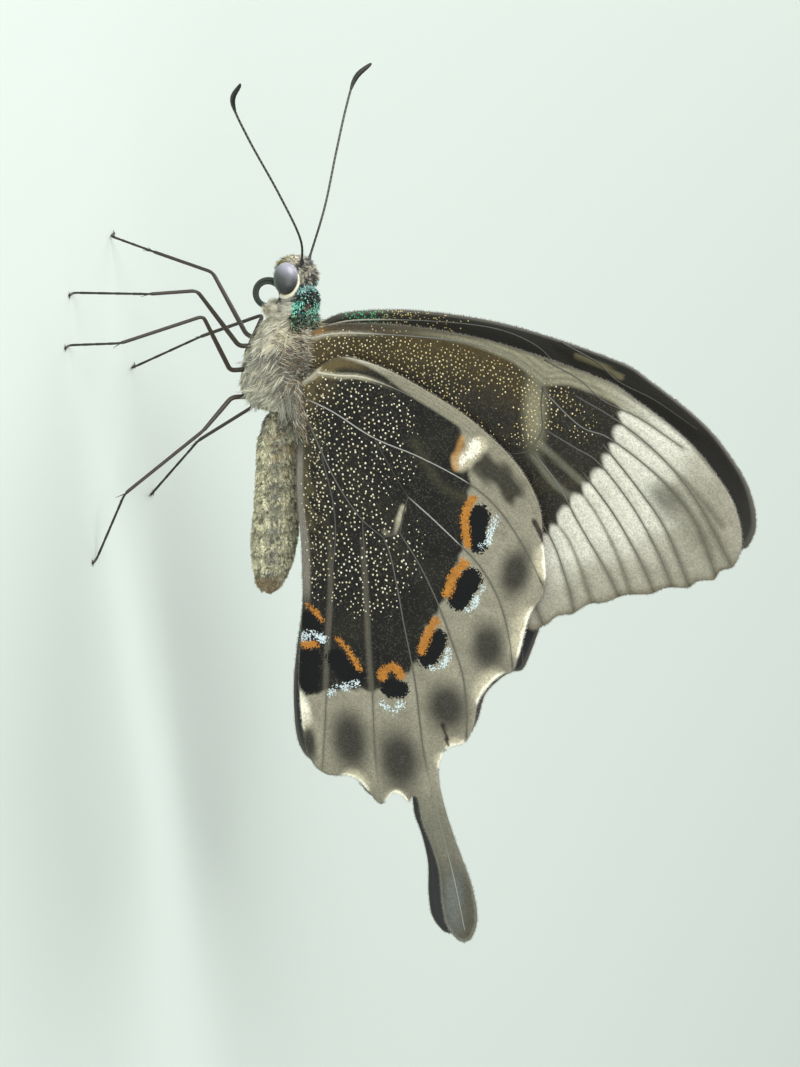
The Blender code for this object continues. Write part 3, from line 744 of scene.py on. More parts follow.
def paint_hind(points, face, rim_gap, vein_gap):
    """Markings of a hind wing. Underside: black, brown at the root, a grey strip along the front
    edge and a grey field beyond the row of eyespots, with a soft smudge in each cell, cream in
    the hollows of the rim, and the tail's brown club. Upper side: black, with its emerald band."""
    x, z = points.T
    slow, fine = wobble(points, 3.5, 5), wobble(points, 0.8, 6)
    grey_gap = -off(points, spline(GREY_EDGE, 5)) + 0.15 * fine
    lobe = off(points, spline(FRONT_LOBE, 5))
    lines = 0.8 + 0.2 * np.sin(z * 2 * np.pi / 0.17 + 2 * slow)
    band = (1 - ramp(rim_gap, 0.6, 0.95)) * ramp(x, -9.0, -6.0)
    band = band * (1 - ramp(x, 5.0, 8.0)) * (1 - ramp(z, 19.0, 20.0))
    near_root = (1 - ramp(z, 17.6, 21.0)) * ramp(x, -6.0, 2.0)
    front = np.abs(off(points, spline(HIND_COSTA, 6)))
    brown = (1 - ramp(front, 0.9, 1.5)) * (1 - ramp(z, 23.5, 26.5)) * ramp(z, 19.5, 21.0) * 0.85
    hinge = 0.75 * patch(points, (12.4, 19.6), (2.6, 1.8), 60.0, 1.8) * ramp(fine, -1.6, 0.6)
    stripes = nearest(points, DUSKY_VEINS)
    light = ramp(wobble(points, 2.2, 8), -0.5, 1.5) * ramp(grey_gap, 0.0, 1.0)
    strip_gap = off(points, spline(STRIP_EDGE, 5))
    strip = ramp(-strip_gap, -0.1, 0.15) * ramp(z, 22.4, 24.4) * ramp(x, -3.0, 0.0)
    ground = layered(
        plain(len(points), 27, 26, 24),
        (0.6 * ramp(slow, -0.2, 1.3), 42, 40, 33),
        (0.45 * np.exp(-(lobe / 0.5) ** 2), 72, 69, 52),
        (band * lines, 136, 130, 118),
        (0.55 * near_root * (1 - band) * ramp(fine, -1.0, 1.0), 104, 96, 66),
        (hinge, 92, 78, 52),
        (brown, 100, 86, 56),
        (0.75 * (1 - ramp(stripes, 0.08, 0.42)) * ramp(-x, 0.0, 6.0), 98, 93, 80),
        (ramp(grey_gap, 0.1, 0.5), 148, 143, 125),
        (0.4 * light, 122, 118, 101),
        (strip, 142, 137, 118),
        (0.6 * strip * (1 - ramp(z, 25.0, 29.0)) * ramp(front, 0.9, 0.2), 206, 200, 182))
    fibre = 0.9 + 0.1 * np.sin(strip_gap * 2 * np.pi / 0.24 + 3 * slow)
    ground = ground * (1 - strip[:, None] + strip[:, None] * fibre[:, None])
    deep = ramp(grey_gap, -0.2, 0.6)
    smudges = [(0.96 * patch(points, *spot, 1.2) * deep, 52, 50, 45) for spot in SMUDGES]
    eye = np.abs(off(points, spline(DARK_EYE, 5))) + 0.2 * fine
    glow = nearest(points, (WHITE_EYE,)) + 0.1 * fine
    buff = nearest(points, (WHITE_LEFT,)) + 0.1 * fine
    dim = ramp(grey_gap, -0.1, 0.6) * (1 - ramp(-x, 22.0, 26.0))
    club = ramp(-x, 31.5, 35.5)
    first = (1 - ramp(nearest(points, HIND_VEINS[8:10]), 0.14, 0.36)) * (1 - ramp(z, 24.5, 28.0))
    fleck = (1 - ramp(nearest(points, (CELL_FLECKS,)), 0.1, 0.42)) * ramp(fine, -1.0, 0.4)
    hollow = from_hollows(points)
    cream = (1 - ramp(rim_gap + 0.08 * fine, 0.14, 0.4)) * (1 - ramp(hollow, 0.9, 1.15))
    slit_shadows = [(nearest(points, (route,), 6), reach) for route, reach in SLIT_SHADOWS]
    ground = layered(
        ground,
        (strip * 0.4 * (1 - ramp(np.abs(strip_gap), 0.0, 0.22)), 84, 80, 66),
        *smudges,
        (0.92 * (1 - ramp(eye, 0.55, 1.7)), 40, 37, 31),
        (0.75 * (1 - ramp(glow, 0.4, 1.15)), 214, 204, 176),
        (0.7 * (1 - ramp(buff, 0.05, 0.5)), 194, 144, 82),
        (0.6 * dim * np.exp(-(vein_gap / 0.14) ** 2), 78, 76, 66),
        (0.75 * ramp(-x, 24.0, 30.0), 104, 102, 90),
        (0.85 * club * ramp(rim_gap, 0.1, 0.5), 78, 75, 66),
        (0.7 * club * patch(points, (-36.5, 27.4), (3.4, 0.9), 8.0, 1.5), 112, 116, 112),
        (0.8 * first * ribbed(z), 184, 176, 150),
        (0.8 * fleck, 186, 180, 156),
        (0.75 * (1 - ramp(rim_gap, 0.3, 1.9)) * (1 - ramp(hollow, 0.6, 1.3)), 210, 200, 172),
        (patch(points, (-17.5, 15.3), (1.5, 0.5), -12.0, 1.4), 246, 241, 220),
        (cream, 246, 241, 220),
        # painted shadow in the slits of the rim
        *((0.95 * (1 - ramp(gap, 0.6 * reach, reach)), 44, 36, 32) for gap, reach in slit_shadows))
    upper = layered(plain(len(points), 26, 26, 27),
                    (0.8 * (1 - ramp(rim_gap, 0.02, 0.12)), 104, 100, 90))
    band = np.abs(off(points, spline(HIND_BAND, 5)))
    solid = 0.75 * (1 - ramp(band, 2.6, 4.4)) * ramp(rim_gap, 0.5, 1.5)
    corner = 0.8 * ramp(z, 15.0, 16.0) * (1 - ramp(z, 17.2, 18.6)) * ramp(x, -14.0, -9.0)
    green = np.maximum(0.34 * ramp(rim_gap, 3.5, 8.0) + solid, corner)
    outside = face > 0
    bars, hearts, arcs = zip(*EYESPOTS)
    widths = np.array(EYESPOT_WIDTHS).T
    white = marked(points, (WHITE_EYE,), (0.6,)) + 0.2 * fine - 0.16 - 0.25 * ramp(-x, -5.2, -3.6)
    marks = {"orange": marked(points, bars, 0.86 * widths[0]) + 0.05 * fine,
             "black": marked(points, hearts, widths[1]),
             "blue": marked(points, arcs, widths[2]) + 0.16 * fine, "white": white}
    marks = {mark: np.where(outside, deep, -2.0) for mark, deep in marks.items()}
    return {"ground": np.where(outside[:, None], ground, upper),
            "green": np.where(outside, 0.0, green), "gold": np.zeros(len(points)), **marks}


hind_under = under_look("hind_wing_underside", 0.6)
lobes = scalloped(HIND_LOBES, HIND_HUB, HIND_SCALLOP)
hind_rim = rim_of((TAIL_TIP, *TAIL_LOWER[::-1], TAIL_ROOT[1], *lobes, *HIND_INNER_EDGE,
                   *HIND_COSTA, *HIND_MARGIN, TAIL_ROOT[0], *TAIL_UPPER, TAIL_TIP))
feet, fold = hind_feet(hind_rim)
for place, side in SIDES:
    piece = membrane(f"hind_wing_{place}", hind_rim, feet, fold, HIND_VEINS, paint_hind,
                     (side, HIND_Y, side < 0), (hind_under, wing_upper))
    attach(piece, "root")
    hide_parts(f"hindwing_{place}", f"tail_{place}")


# ---- Veins ----------------------------------------------------------------------------------
# The veins are hollow tubes that stiffen the membrane, thick at the root and fine at the rim.
# They stand out on both sides, light grey where the wing is black and dark where it is pale, and
# whitish and ribbed in the first vein.
VEIN_ROOT, VEIN_TIP = 0.1, 0.082   # radii; a sheet's own half thickness hides the rest
VEIN_SIDES, VEIN_STEP, VEIN_STOP = 8, 0.2, 0.12     # the last: how far from the rim a vein ends
FORE_VEIN_LIGHT = (1.5, 0.1, 0.15, 0.1, 0.35, 0.1, 0.15, 0.1, 0.3, 0.3, 0.1, 0.1)
HIND_VEIN_LIGHT = (1.0, 0.9, 0.1, 0.3, 0.2, 0.2, 0.1, 0.1, 1.5, 1.7, 0.0)


def caps(count, around):
    """The fans that close the first and the last of so many rings, round two points that come
    after them all."""
    step = np.arange(around)
    after = (step + 1) % around
    last = (count - 1) * around
    front = np.column_stack((np.full(around, count * around), after, step))
    rear = np.column_stack((np.full(around, count * around + 1), last + step, last + after))
    return np.vstack((front, rear))


def tube(route, radii, sides, up=(0.0, 0.0, 1.0)):
    """Rings round a route, each square to it with its up carried on from the last, and a point
    at each end: the points, and the faces as quads and triangles."""
    route, radii = np.asarray(route, float), np.asarray(radii, float)
    along = np.gradient(route, axis=0)
    along /= np.linalg.norm(along, axis=1, keepdims=True)
    turn = np.arange(sides)[:, None] * 2 * np.pi / sides
    ups = np.empty_like(route)
    up = np.array(up, float)
    for i, way in enumerate(along):
        up = up - way * up.dot(way)
        up /= np.linalg.norm(up)
        ups[i] = up
    across = np.cross(along, ups)
    around = np.cos(turn) * across[:, None] + np.sin(turn) * ups[:, None]
    rings = (route[:, None] + radii[:, None, None] * around).reshape(-1, 3)
    ends = (route[0] - along[0] * radii[0] * 0.6, route[-1] + along[-1] * radii[-1] * 0.6)
    count = len(route)
    return np.vstack((rings, *ends)), bands(count, sides), caps(count, sides)


def ringed(tint, sides):
    """The colours of a tube's points and ends, from one for each ring."""
    return np.vstack((np.repeat(tint, sides, axis=0), tint[0], tint[-1]))


def joined(parts):
    """Several lots of points, quads and triangles as one."""
    start = np.cumsum([0] + [len(part[0]) for part in parts[:-1]])
    points, quads, fans = zip(*parts)
    return (np.vstack(points), np.vstack([lot + first for lot, first in zip(quads, start)]),
            np.vstack([lot + first for lot, first in zip(fans, start)]))


def tinted_look(name, roughness, contrast=0.25, scale=6000.0):
    """A finish that takes its colour from the piece's own tint, with a fine grain on it."""
    made, tree, shader = material(name, roughness)
    place = node(tree, "TexCoord").outputs["Object"]
    grain = node(tree, "TexNoise", Vector=place, Scale=scale, Detail=2.0).outputs["Fac"]
    gain = sums(tree, "MULTIPLY_ADD", grain, 2 * contrast, 1 - contrast)
    tree.links.new(scaled(tree, field(tree, "tint", True), gain), shader.inputs["Base Color"])
    bumped(tree, shader, grain, 0.3, 0.00003)
    return made


def wing_pair(side):
    """How the fore wing and the hind wing of a side are set."""
    return (side, FORE_Y, False), (side, HIND_Y, side < 0)


def vein_net(name, veins, lights, outline, pale_edge, wing):
    """All the veins of a wing: tapered tubes along their routes, in the middle of the sheet, cut
    off where they reach its rim. A vein with a light above 1 is whitish, wide and ribbed."""
    parts, tints = [], []
    closed = np.vstack((outline, outline[:1]))
    for route, light in zip(veins, lights):
        line = spline(route, 8)
        length = np.sum(np.hypot(*np.diff(line, axis=0).T))
        line = even(line, max(4, int(length / VEIN_STEP)))
        line = line[within(line, closed) > VEIN_STOP]
        steps, behind = np.arange(len(line)), -line[:, 0]
        far = VEIN_STEP * steps
        white = max(light - 1, 0.0) * (1 - ramp(far, 4.0, 8.0))
        radii = np.linspace(VEIN_ROOT, VEIN_TIP, len(line))
        radii = radii * (1 + white * (0.35 + 0.12 * np.sin(1.9 * steps)))
        parts.append(tube(set_wing(line, 0.0, *wing), radii, VEIN_SIDES))
        pale = ramp(-off(line, spline(pale_edge, 5)), -0.3, 0.3)
        grey = min(light, 1.0) * (0.35 if light > 1 else 1.0) * ramp(far, -0.5, 1.5)
        tail = laid(tone(122, 120, 106), ramp(behind, 31.0, 35.0), tone(156, 156, 144))
        tint = layered(plain(len(line), 46, 43, 36), (grey, 158, 156, 150),
                       (white, 214, 208, 188), (pale, 84, 81, 70))
        tints.append(ringed(laid(tint, ramp(behind, 22.0, 26.0), tail), VEIN_SIDES))
    piece = mesh_object(name, *joined(parts))
    store(piece, "tint", np.vstack(tints))
    piece.data.materials.append(vein_look)
    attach(piece, "root")


def within(points, outline):
    """How deep points lie inside a closed line, below zero outside it: the distance to the line,
    with its sign from the number of crossings of a ray along x."""
    x, z = points.T
    crossed = np.zeros(len(points), bool)
    for (ax, az), (bx, bz) in zip(outline, outline[1:]):
        spans = (az > z) != (bz > z)
        crossed ^= spans & (x < (bx - ax) * (z - az) / (bz - az + 1e-12) + ax)
    far = np.abs(off(points, np.asarray(outline, float)))
    return np.where(crossed, far, -far)


vein_look = tinted_look("vein", 0.5)
for place, side in SIDES:
    fore, hind = wing_pair(side)
    vein_net(f"fore_veins_{place}", FORE_VEINS, FORE_VEIN_LIGHT, fore_rim, FORE_PALE_EDGE, fore)
    vein_net(f"hind_veins_{place}", HIND_VEINS, HIND_VEIN_LIGHT, hind_rim, GREY_EDGE, hind)


# ---- Gold and cream dusting -----------------------------------------------------------------
# Single pale scales are strewn among the dark ones of each wing's root, in loose rows, a
# quarter of a millimetre across, and stand a little above them.
DUST_HEIGHT = 0.03
FORE_DUST = ((16.9, 20.2), (17.3, 22.6), (16.9, 28.2), (15.7, 32.3), (14.9, 35.4), (13.5, 38.2),
             (11.8, 41.4), (11.4, 43.4), (10.1, 44.6), (6.2, 46.0), (5.2, 44.4), (6.2, 42.0),
             (4.9, 39.5), (6.1, 36.8), (7.2, 34.1), (8.2, 31.6), (9.7, 28.1), (11.0, 23.7),
             (11.5, 20.0), (16.9, 20.2))
HIND_DUST = ((13.2, 19.4), (13.9, 21.6), (12.9, 24.4), (12.0, 27.0), (10.9, 29.2), (9.0, 30.0),
             (7.8, 29.4), (6.3, 29.2), (4.0, 29.6), (2.6, 28.2), (2.2, 26.4), (1.4, 26.9),
             (0.2, 28.2), (-2.6, 28.8), (-4.3, 28.6), (-7.1, 27.9), (-8.3, 26.0), (-9.6, 24.4),
             (-9.8, 21.7), (-8.2, 19.4), (-7.4, 17.3), (-5.3, 17.2), (-2.5, 17.7), (4.0, 18.1),
             (10.9, 18.5), (13.2, 19.4))
ROOT_DUST = ((12.4, 18.9), (11.8, 21.2), (8.0, 21.0), (3.0, 20.2), (-3.0, 19.0), (-6.5, 18.3),
             (-6.0, 17.5), (0.0, 18.0), (7.0, 18.4), (12.4, 18.9))
FORE_BARE = (((9.2, 36.6), (2.0, 2.6), 30.0), ((12.0, 43.8), (1.0, 2.4), 0.0),
             ((7.6, 43.4), (1.0, 1.0), 0.0))     # for each: middle, reaches and turn
HIND_BARE = (((0.9, 26.9), (1.6, 1.6), 0.0), ((6.0, 29.0), (1.0, 1.6), 0.0))
GOLD = (tone(164, 138, 76), tone(240, 226, 176))
OLIVE_GOLD = (tone(140, 124, 72), tone(232, 222, 184))
PALE_GOLD = (tone(206, 192, 146), tone(246, 241, 218))
ROW = 0.87                   # from one row to the next, as a share of the pitch
BARE = 0.14                  # how near a vein no scale stands


def strewn(outline, pitch, seed, thin, bare):
    """Roots in loose rows inside an outline: a hexagonal grid, shaken, thinned near the edge and
    in the bare patches."""
    rng = np.random.default_rng(seed)
    low, high = outline.min(axis=0), outline.max(axis=0)
    columns = int((high[0] - low[0]) / pitch) + 2
    rows = int((high[1] - low[1]) / (pitch * ROW)) + 2
    i, j = np.meshgrid(np.arange(columns), np.arange(rows))
    across, up = low[0] + pitch * (i + 0.5 * (j % 2)), low[1] + pitch * ROW * j
    grid = np.column_stack((across.ravel(), up.ravel()))
    grid += rng.normal(scale=0.2 * pitch, size=grid.shape)
    dense = np.prod([np.ones(len(grid)), *(1 - 0.85 * patch(grid, *spot) for spot in bare)], axis=0)
    dense = (1 - thin) * dense * ramp(within(grid, outline), -0.5, 1.0)
    keep = rng.random(len(grid)) < dense
    return grid[keep], rng


def copies(faces, count, size):
    """The faces of so many copies of a small mesh with the given number of points."""
    return (np.arange(count)[:, None, None] * size + faces).reshape(-1, faces.shape[1])


def dust(name, outline, bare, colours, veins, wing, pitch, size, seed, thin):
    """Dust scales of a wing: flat six-sided lozenges with a low point on either face."""
    outline = np.array(outline)
    roots, rng = strewn(outline, pitch, seed, thin, bare)
    roots = roots[nearest(roots, veins) > BARE]
    count = len(roots)
    full = 0.66 + 0.34 * ramp(within(roots, outline), -0.2, 1.6)
    size = (size * full * rng.uniform(0.7, 1.2, count))[:, None]
    turn = np.arange(6) * np.pi / 3 + rng.uniform(0, np.pi, count)[:, None]
    middle = np.zeros((count, 2))
    across = np.hstack((1.15 * size * np.cos(turn), middle)) + roots[:, :1]
    up = np.hstack((size * np.sin(turn), middle)) + roots[:, 1:]
    points = np.column_stack((across.ravel(), up.ravel()))
    lift = np.array((0.0,) * 6 + (DUST_HEIGHT, -DUST_HEIGHT))
    outward = puffed(nearest(roots, veins))[:, None] + SHEET + 0.004 + lift
    edges = [(i, (i + 1) % 6) for i in range(6)]
    fans = np.array([(i, j, 6) for i, j in edges] + [(j, i, 7) for i, j in edges])
    piece = mesh_object(name, set_wing(points, outward.ravel(), *wing), (), copies(fans, count, 8))
    tint = colours[0] + rng.random(count)[:, None] * (colours[1] - colours[0])
    store(piece, "tint", np.repeat(tint, 8, axis=0))
    piece.data.materials.append(dust_look)
    bake_map(piece, points, np.repeat(roots, 8, axis=0))
    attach(piece, "root")


def chart_points(piece, flat):
    """The OFBake map of a piece, from a place on the unit square for each vertex."""
    corners = np.zeros(len(piece.data.loops), np.int32)
    piece.data.loops.foreach_get("vertex_index", corners)
    made = piece.data.uv_layers.new(name="OFBake")
    made.data.foreach_set("uv", flat[corners].astype(np.float32).ravel())


def bake_map(piece, points, roots):
    """The OFBake map of a piece made of many small parts: the wing laid flat on the unit square,
    with each part shrunk round its root to a patch about 0.003 across."""
    low, high = roots.min(axis=0), roots.max(axis=0)
    room = np.max(high - low) * 1.02
    gap = points - roots
    reach = np.percentile(np.hypot(*gap.T), 95) + 1e-9
    chart_points(piece, (roots - low) / room + 0.005 + 0.0015 * gap / reach)


dust_look = tinted_look("dust_scale", 0.5, 0.12)
for place, side in SIDES:
    fore, hind = wing_pair(side)
    dust(f"fore_dust_{place}", FORE_DUST, FORE_BARE, GOLD, FORE_VEINS, fore,
         pitch=0.42, size=0.082, seed=11, thin=0.06)
    dust(f"hind_dust_{place}", HIND_DUST, HIND_BARE, PALE_GOLD, HIND_VEINS, hind,
         pitch=0.5, size=0.092, seed=12, thin=0.16)
    dust(f"root_dust_{place}", ROOT_DUST, (), OLIVE_GOLD, HIND_VEINS, hind,
         pitch=0.4, size=0.072, seed=13, thin=0.1)


# ---- Body -----------------------------------------------------------------------------------
# One skin runs over the head, neck, thorax and abdomen, without a seam. It is soft between the
# abdomen's rings, and lies under the solids' outline by the depth of the hair or scales on it.
HEAD = ((23.5, 18.3, 19.3, 0.4, 0.0), (23.3, 17.8, 19.8, 0.9, 0.0), (22.7, 17.2, 20.5, 1.3, 0.0),
        (21.8, 17.1, 20.9, 1.5, 0.0), (21.0, 17.3, 20.9, 1.4, 0.1), (20.6, 17.8, 20.6, 1.2, 0.1))
PROTHORAX = ((20.3, 18.1, 20.6, 1.3, 0.1), (19.9, 17.9, 20.9, 1.6, 0.1),
             (19.2, 17.5, 21.0, 1.9, 0.2), (18.5, 16.9, 20.9, 2.1, 0.3))
THORAX = ((18.2, 15.8, 20.7, 2.0, 0.3), (17.8, 15.0, 20.9, 2.3, 0.35),
          (16.6, 13.8, 21.0, 2.7, 0.35), (15.0, 12.9, 21.0, 2.9, 0.35),
          (13.2, 12.3, 20.8, 2.9, 0.35), (11.6, 12.1, 20.1, 2.6, 0.3),
          (10.3, 12.8, 19.0, 2.0, 0.25), (9.8, 13.6, 18.0, 1.3, 0.2))
ABDOMEN = ((9.4, 14.5, 17.8, 1.2, 0.2), (8.6, 14.0, 17.8, 1.55, 0.2), (7.6, 13.75, 17.6, 1.85, 0.2),
           (6.6, 13.25, 17.35, 2.1, 0.2), (4.0, 12.85, 16.85, 2.2, 0.2),
           (0.5, 12.2, 16.45, 2.25, 0.2), (-2.5, 11.55, 15.95, 2.25, 0.15),
           (-5.2, 11.4, 15.0, 1.9, 0.1), (-6.9, 11.6, 13.9, 1.1, 0.1), (-7.5, 12.2, 13.1, 0.45, 0.0))
COAT_DEPTH = ((-7.5, 0.12), (8.0, 0.2), (10.5, 0.55), (17.0, 0.62), (19.0, 0.4), (21.0, 0.24),
              (23.5, 0.16))     # by x
RING_FROM, RING_PITCH, RING_SINK = 6.6, 2.05, 0.07   # the abdomen's rings and their soft gaps
BODY_AROUND = 64
STATIONS = spline((*HEAD, *PROTHORAX, *THORAX, *ABDOMEN), 10)


def ring_gap(x):
    """How far each place is from the nearest gap between two of the abdomen's rings, in rings."""
    ring = (RING_FROM - x) / RING_PITCH
    return np.abs(ring - np.round(ring))


def girth(at):
    """The skin's station at each place along the body, counted in STATIONS: x, middle height,
    half height, half width and narrowing, drawn in by the coat's depth and the ring gaps."""
    x, low, high, half, narrow = [np.interp(at, np.arange(len(STATIONS)), column)
                                  for column in STATIONS.T]
    depth = np.interp(x, *np.array(COAT_DEPTH).T)
    depth = depth + RING_SINK * np.exp(-(ring_gap(x) / 0.09) ** 2) * (x < RING_FROM + 0.5)
    tall = np.maximum((high - low) / 2 - depth, 0.12)
    return x, (low + high) / 2, tall, np.maximum(half - depth, 0.1), narrow


def on_skin(at, turn):
    """A place on the skin: across by the cosine of the turn, narrower at the top, and up by its
    sine."""
    x, middle, tall, half, narrow = girth(at)
    across = half * np.cos(turn) * (1 - narrow * np.sin(turn))
    return np.column_stack((x, across, middle + tall * np.sin(turn)))


def off_skin(at, turn):
    """The direction straight out of the skin, from the slopes along the body and round it."""
    step = 0.02
    along = on_skin(at + step, turn) - on_skin(at - step, turn)
    about = on_skin(at, turn + step) - on_skin(at, turn - step)
    out = np.cross(along, about)
    out /= np.linalg.norm(out, axis=1, keepdims=True) + 1e-9
    middle = girth(at)
    centre = np.column_stack((middle[0], np.zeros(len(at)), middle[1]))
    facing_in = np.sum(out * (on_skin(at, turn) - centre), axis=1) < 0
    out[facing_in] *= -1
    return out


def pelt(points):
    """The coat's colours at the root and at the tip, by place: pale hair on the thorax, a little
    darker on each flank, olive and buff scales on the abdomen, and a dark nape."""
    x, _, z = points.T
    flank = 0.9 * patch(points[:, ::2], (14.6, 17.4), (2.3, 1.6), 20.0, 1.4)
    high = ramp(z, 17.8, 19.2) * (1 - ramp(x, 17.4, 18.0))
    mottle = wobble(points, 0.8, 45) + flank + 0.6 * high + 0.2 * wobble(points, 1.4, 21)
    dim = ramp(mottle, 0.45, 1.0)
    belly = ramp(-x, -9.6, -8.6)
    neck = ramp(x, 17.0, 17.8) * (1 - ramp(x, 21.2, 21.6)) * ramp(z, 17.6, 18.4)
    root = layered(plain(len(points), 190, 180, 146), (0.8 * dim, 58, 54, 42),
                   (belly, 112, 106, 82), (neck, 34, 34, 30))
    tip = layered(plain(len(points), 255, 251, 230), (0.85 * dim, 82, 77, 58),
                  (belly, 236, 231, 196), (neck, 52, 56, 48))
    return root, tip


rows = len(STATIONS)
at = np.repeat(np.arange(rows, dtype=float), BODY_AROUND)
turn = np.tile(np.arange(BODY_AROUND) * 2 * np.pi / BODY_AROUND, rows)
points = on_skin(at, turn)
ends = points.reshape(rows, BODY_AROUND, 3)[[0, -1]].mean(axis=1)
points = np.vstack((points, ends))
body = mesh_object("body_skin", points, bands(rows, BODY_AROUND), caps(rows, BODY_AROUND))
skin_root, skin_tip = pelt(points)
store(body, "tint", 0.6 * skin_root + 0.4 * skin_tip)
body.data.materials.append(tinted_look("skin", 0.8, 0.3, 2500.0))
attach(body, "root")
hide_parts("head", "prothorax", "thorax", "abdomen")


# ---- Coat of the thorax ---------------------------------------------------------------------
# Long silky hair grows from the thorax in wavy locks that lie back and down over the hips of
# the legs and the first rings of the abdomen. It is cream at the tips and dark at the roots.
COAT_FROM, COAT_TO = 9.9, 18.6      # x between which the thorax's hair is rooted
THORAX_HAIRS, THORAX_LOCKS = 9500, 760
THORAX_LENGTH, THORAX_WIDTH = 2.0, 0.04
WISPS, WISP_TRIES, WISP_WIDTH = 800, 5200, 0.026     # kept, of so many roots tried
ROOT_TUFTS, TUFT_TRIES, TUFT_WIDTH = 1500, 9000, 0.034
DOWN_AND_BACK, UNDER_BACK = np.array((-0.6, 0.0, -0.78)), np.array((-0.95, 0.0, -0.08))
COAT_CURL = np.array((-0.12, 0.0, -0.08))
HAIR_STEPS = np.array((0.0, 0.35, 0.7))     # where a hair's rings stand along it


def at_x(x):
    """Places along the body, counted in STATIONS, from their x."""
    return np.interp(-np.asarray(x, float), -STATIONS[:, 0], np.arange(len(STATIONS)))


def rooted(count, from_x, to_x, rng, low=0.0, high=2 * np.pi):
    """Random roots on the skin between two x and two turns, thicker where the body is wider:
    their places, the directions out of the skin, and their unwrap as the share round and along."""
    x = rng.uniform(from_x, to_x, count * 3)
    turn = rng.uniform(low, high, count * 3)
    at = at_x(x)
    wide = girth(at)[3]
    keep = np.flatnonzero(rng.random(len(x)) < wide / wide.max())[:count]
    at, turn = at[keep], turn[keep]
    chart = np.column_stack((turn % (2 * np.pi) / (2 * np.pi), at / len(STATIONS)))
    return on_skin(at, turn), off_skin(at, turn), chart


def only(keep, *lots):
    """The chosen rows of each of several arrays."""
    return [lot[keep] for lot in lots]


def unit(vectors):
    """Each vector at a length of one."""
    return vectors / (np.linalg.norm(vectors, axis=1, keepdims=True) + 1e-12)


def ruffled(flow, rng, spread):
    """Directions shaken a little at random."""
    return unit(flow + rng.normal(scale=spread, size=flow.shape))


def laid_flow(out, way, lift):
    """A direction along the skin: the wanted way less its part out of the skin, plus some lift."""
    way = np.broadcast_to(way, out.shape)
    flat = unit(way - out * np.sum(way * out, axis=1, keepdims=True))
    return unit(flat + out * np.reshape(lift, (-1, 1)))


def gathered(roots, flow, locks, rng, spread, pull):
    """Draw hairs together: each takes the turn of its nearest lock and leans to the lock's tip.
    Gives the new flow and each hair's lock."""
    seeds = roots[rng.choice(len(roots), locks, replace=False)]
    own = np.argmin(((roots[:, None] - seeds[None]) ** 2).sum(-1), axis=1)
    swing = rng.normal(scale=spread, size=(locks, 3))
    flow = unit(flow + swing[own] + pull * (seeds[own] - roots))
    return flow, own


def hairs(name, roots, out, flow, length, width, droop, root_tint, tip_tint, chart):
    """Hairs as three-sided spikes: a centre line that starts along the flow and bends by the
    droop times the square of the way along it, three rings that narrow, and a tip."""
    count = len(roots)
    side = unit(np.cross(flow, out))
    steps = np.append(HAIR_STEPS, 1.0)[:, None]
    bent = flow[:, None] * steps + droop[:, None] * steps**2
    line = roots[:, None] + length[:, None, None] * bent
    turn = np.arange(3)[:, None] * 2 * np.pi / 3
    around = np.cos(turn) * side[:, None] + 0.6 * np.sin(turn) * out[:, None]
    narrow = (1 - 0.8 * HAIR_STEPS**1.5)[:, None, None]
    rings = line[:, :3, None] + width[:, None, None, None] * narrow * around[:, None]
    points = np.concatenate((rings.reshape(count, 9, 3), line[:, 3:]), axis=1).reshape(-1, 3)
    fans = np.array(((6, 7, 9), (7, 8, 9), (8, 6, 9), (2, 1, 0)))
    piece = mesh_object(name, points, copies(bands(3, 3), count, 10), copies(fans, count, 10))
    share = np.append(np.repeat(HAIR_STEPS, 3), 1.0)[:, None]
    tint = root_tint[:, None] + share * (tip_tint - root_tint)[:, None]
    store(piece, "tint", tint.reshape(-1, 3))
    piece.data.materials.append(hair)
    spot = np.stack((np.cos(np.arange(10)), np.sin(np.arange(10))), -1) * 0.0015
    chart_points(piece, (0.01 + 0.98 * chart[:, None] + spot).reshape(-1, 2))
    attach(piece, "root")


def hair_look():
    """Silky hair: its own tint, a broad sheen and no fine bump."""
    made, tree, shader = material("hair", 0.55)
    tree.links.new(field(tree, "tint", True), shader.inputs["Base Color"])
    shader.inputs["Sheen Weight"].default_value = 0.6
    return made


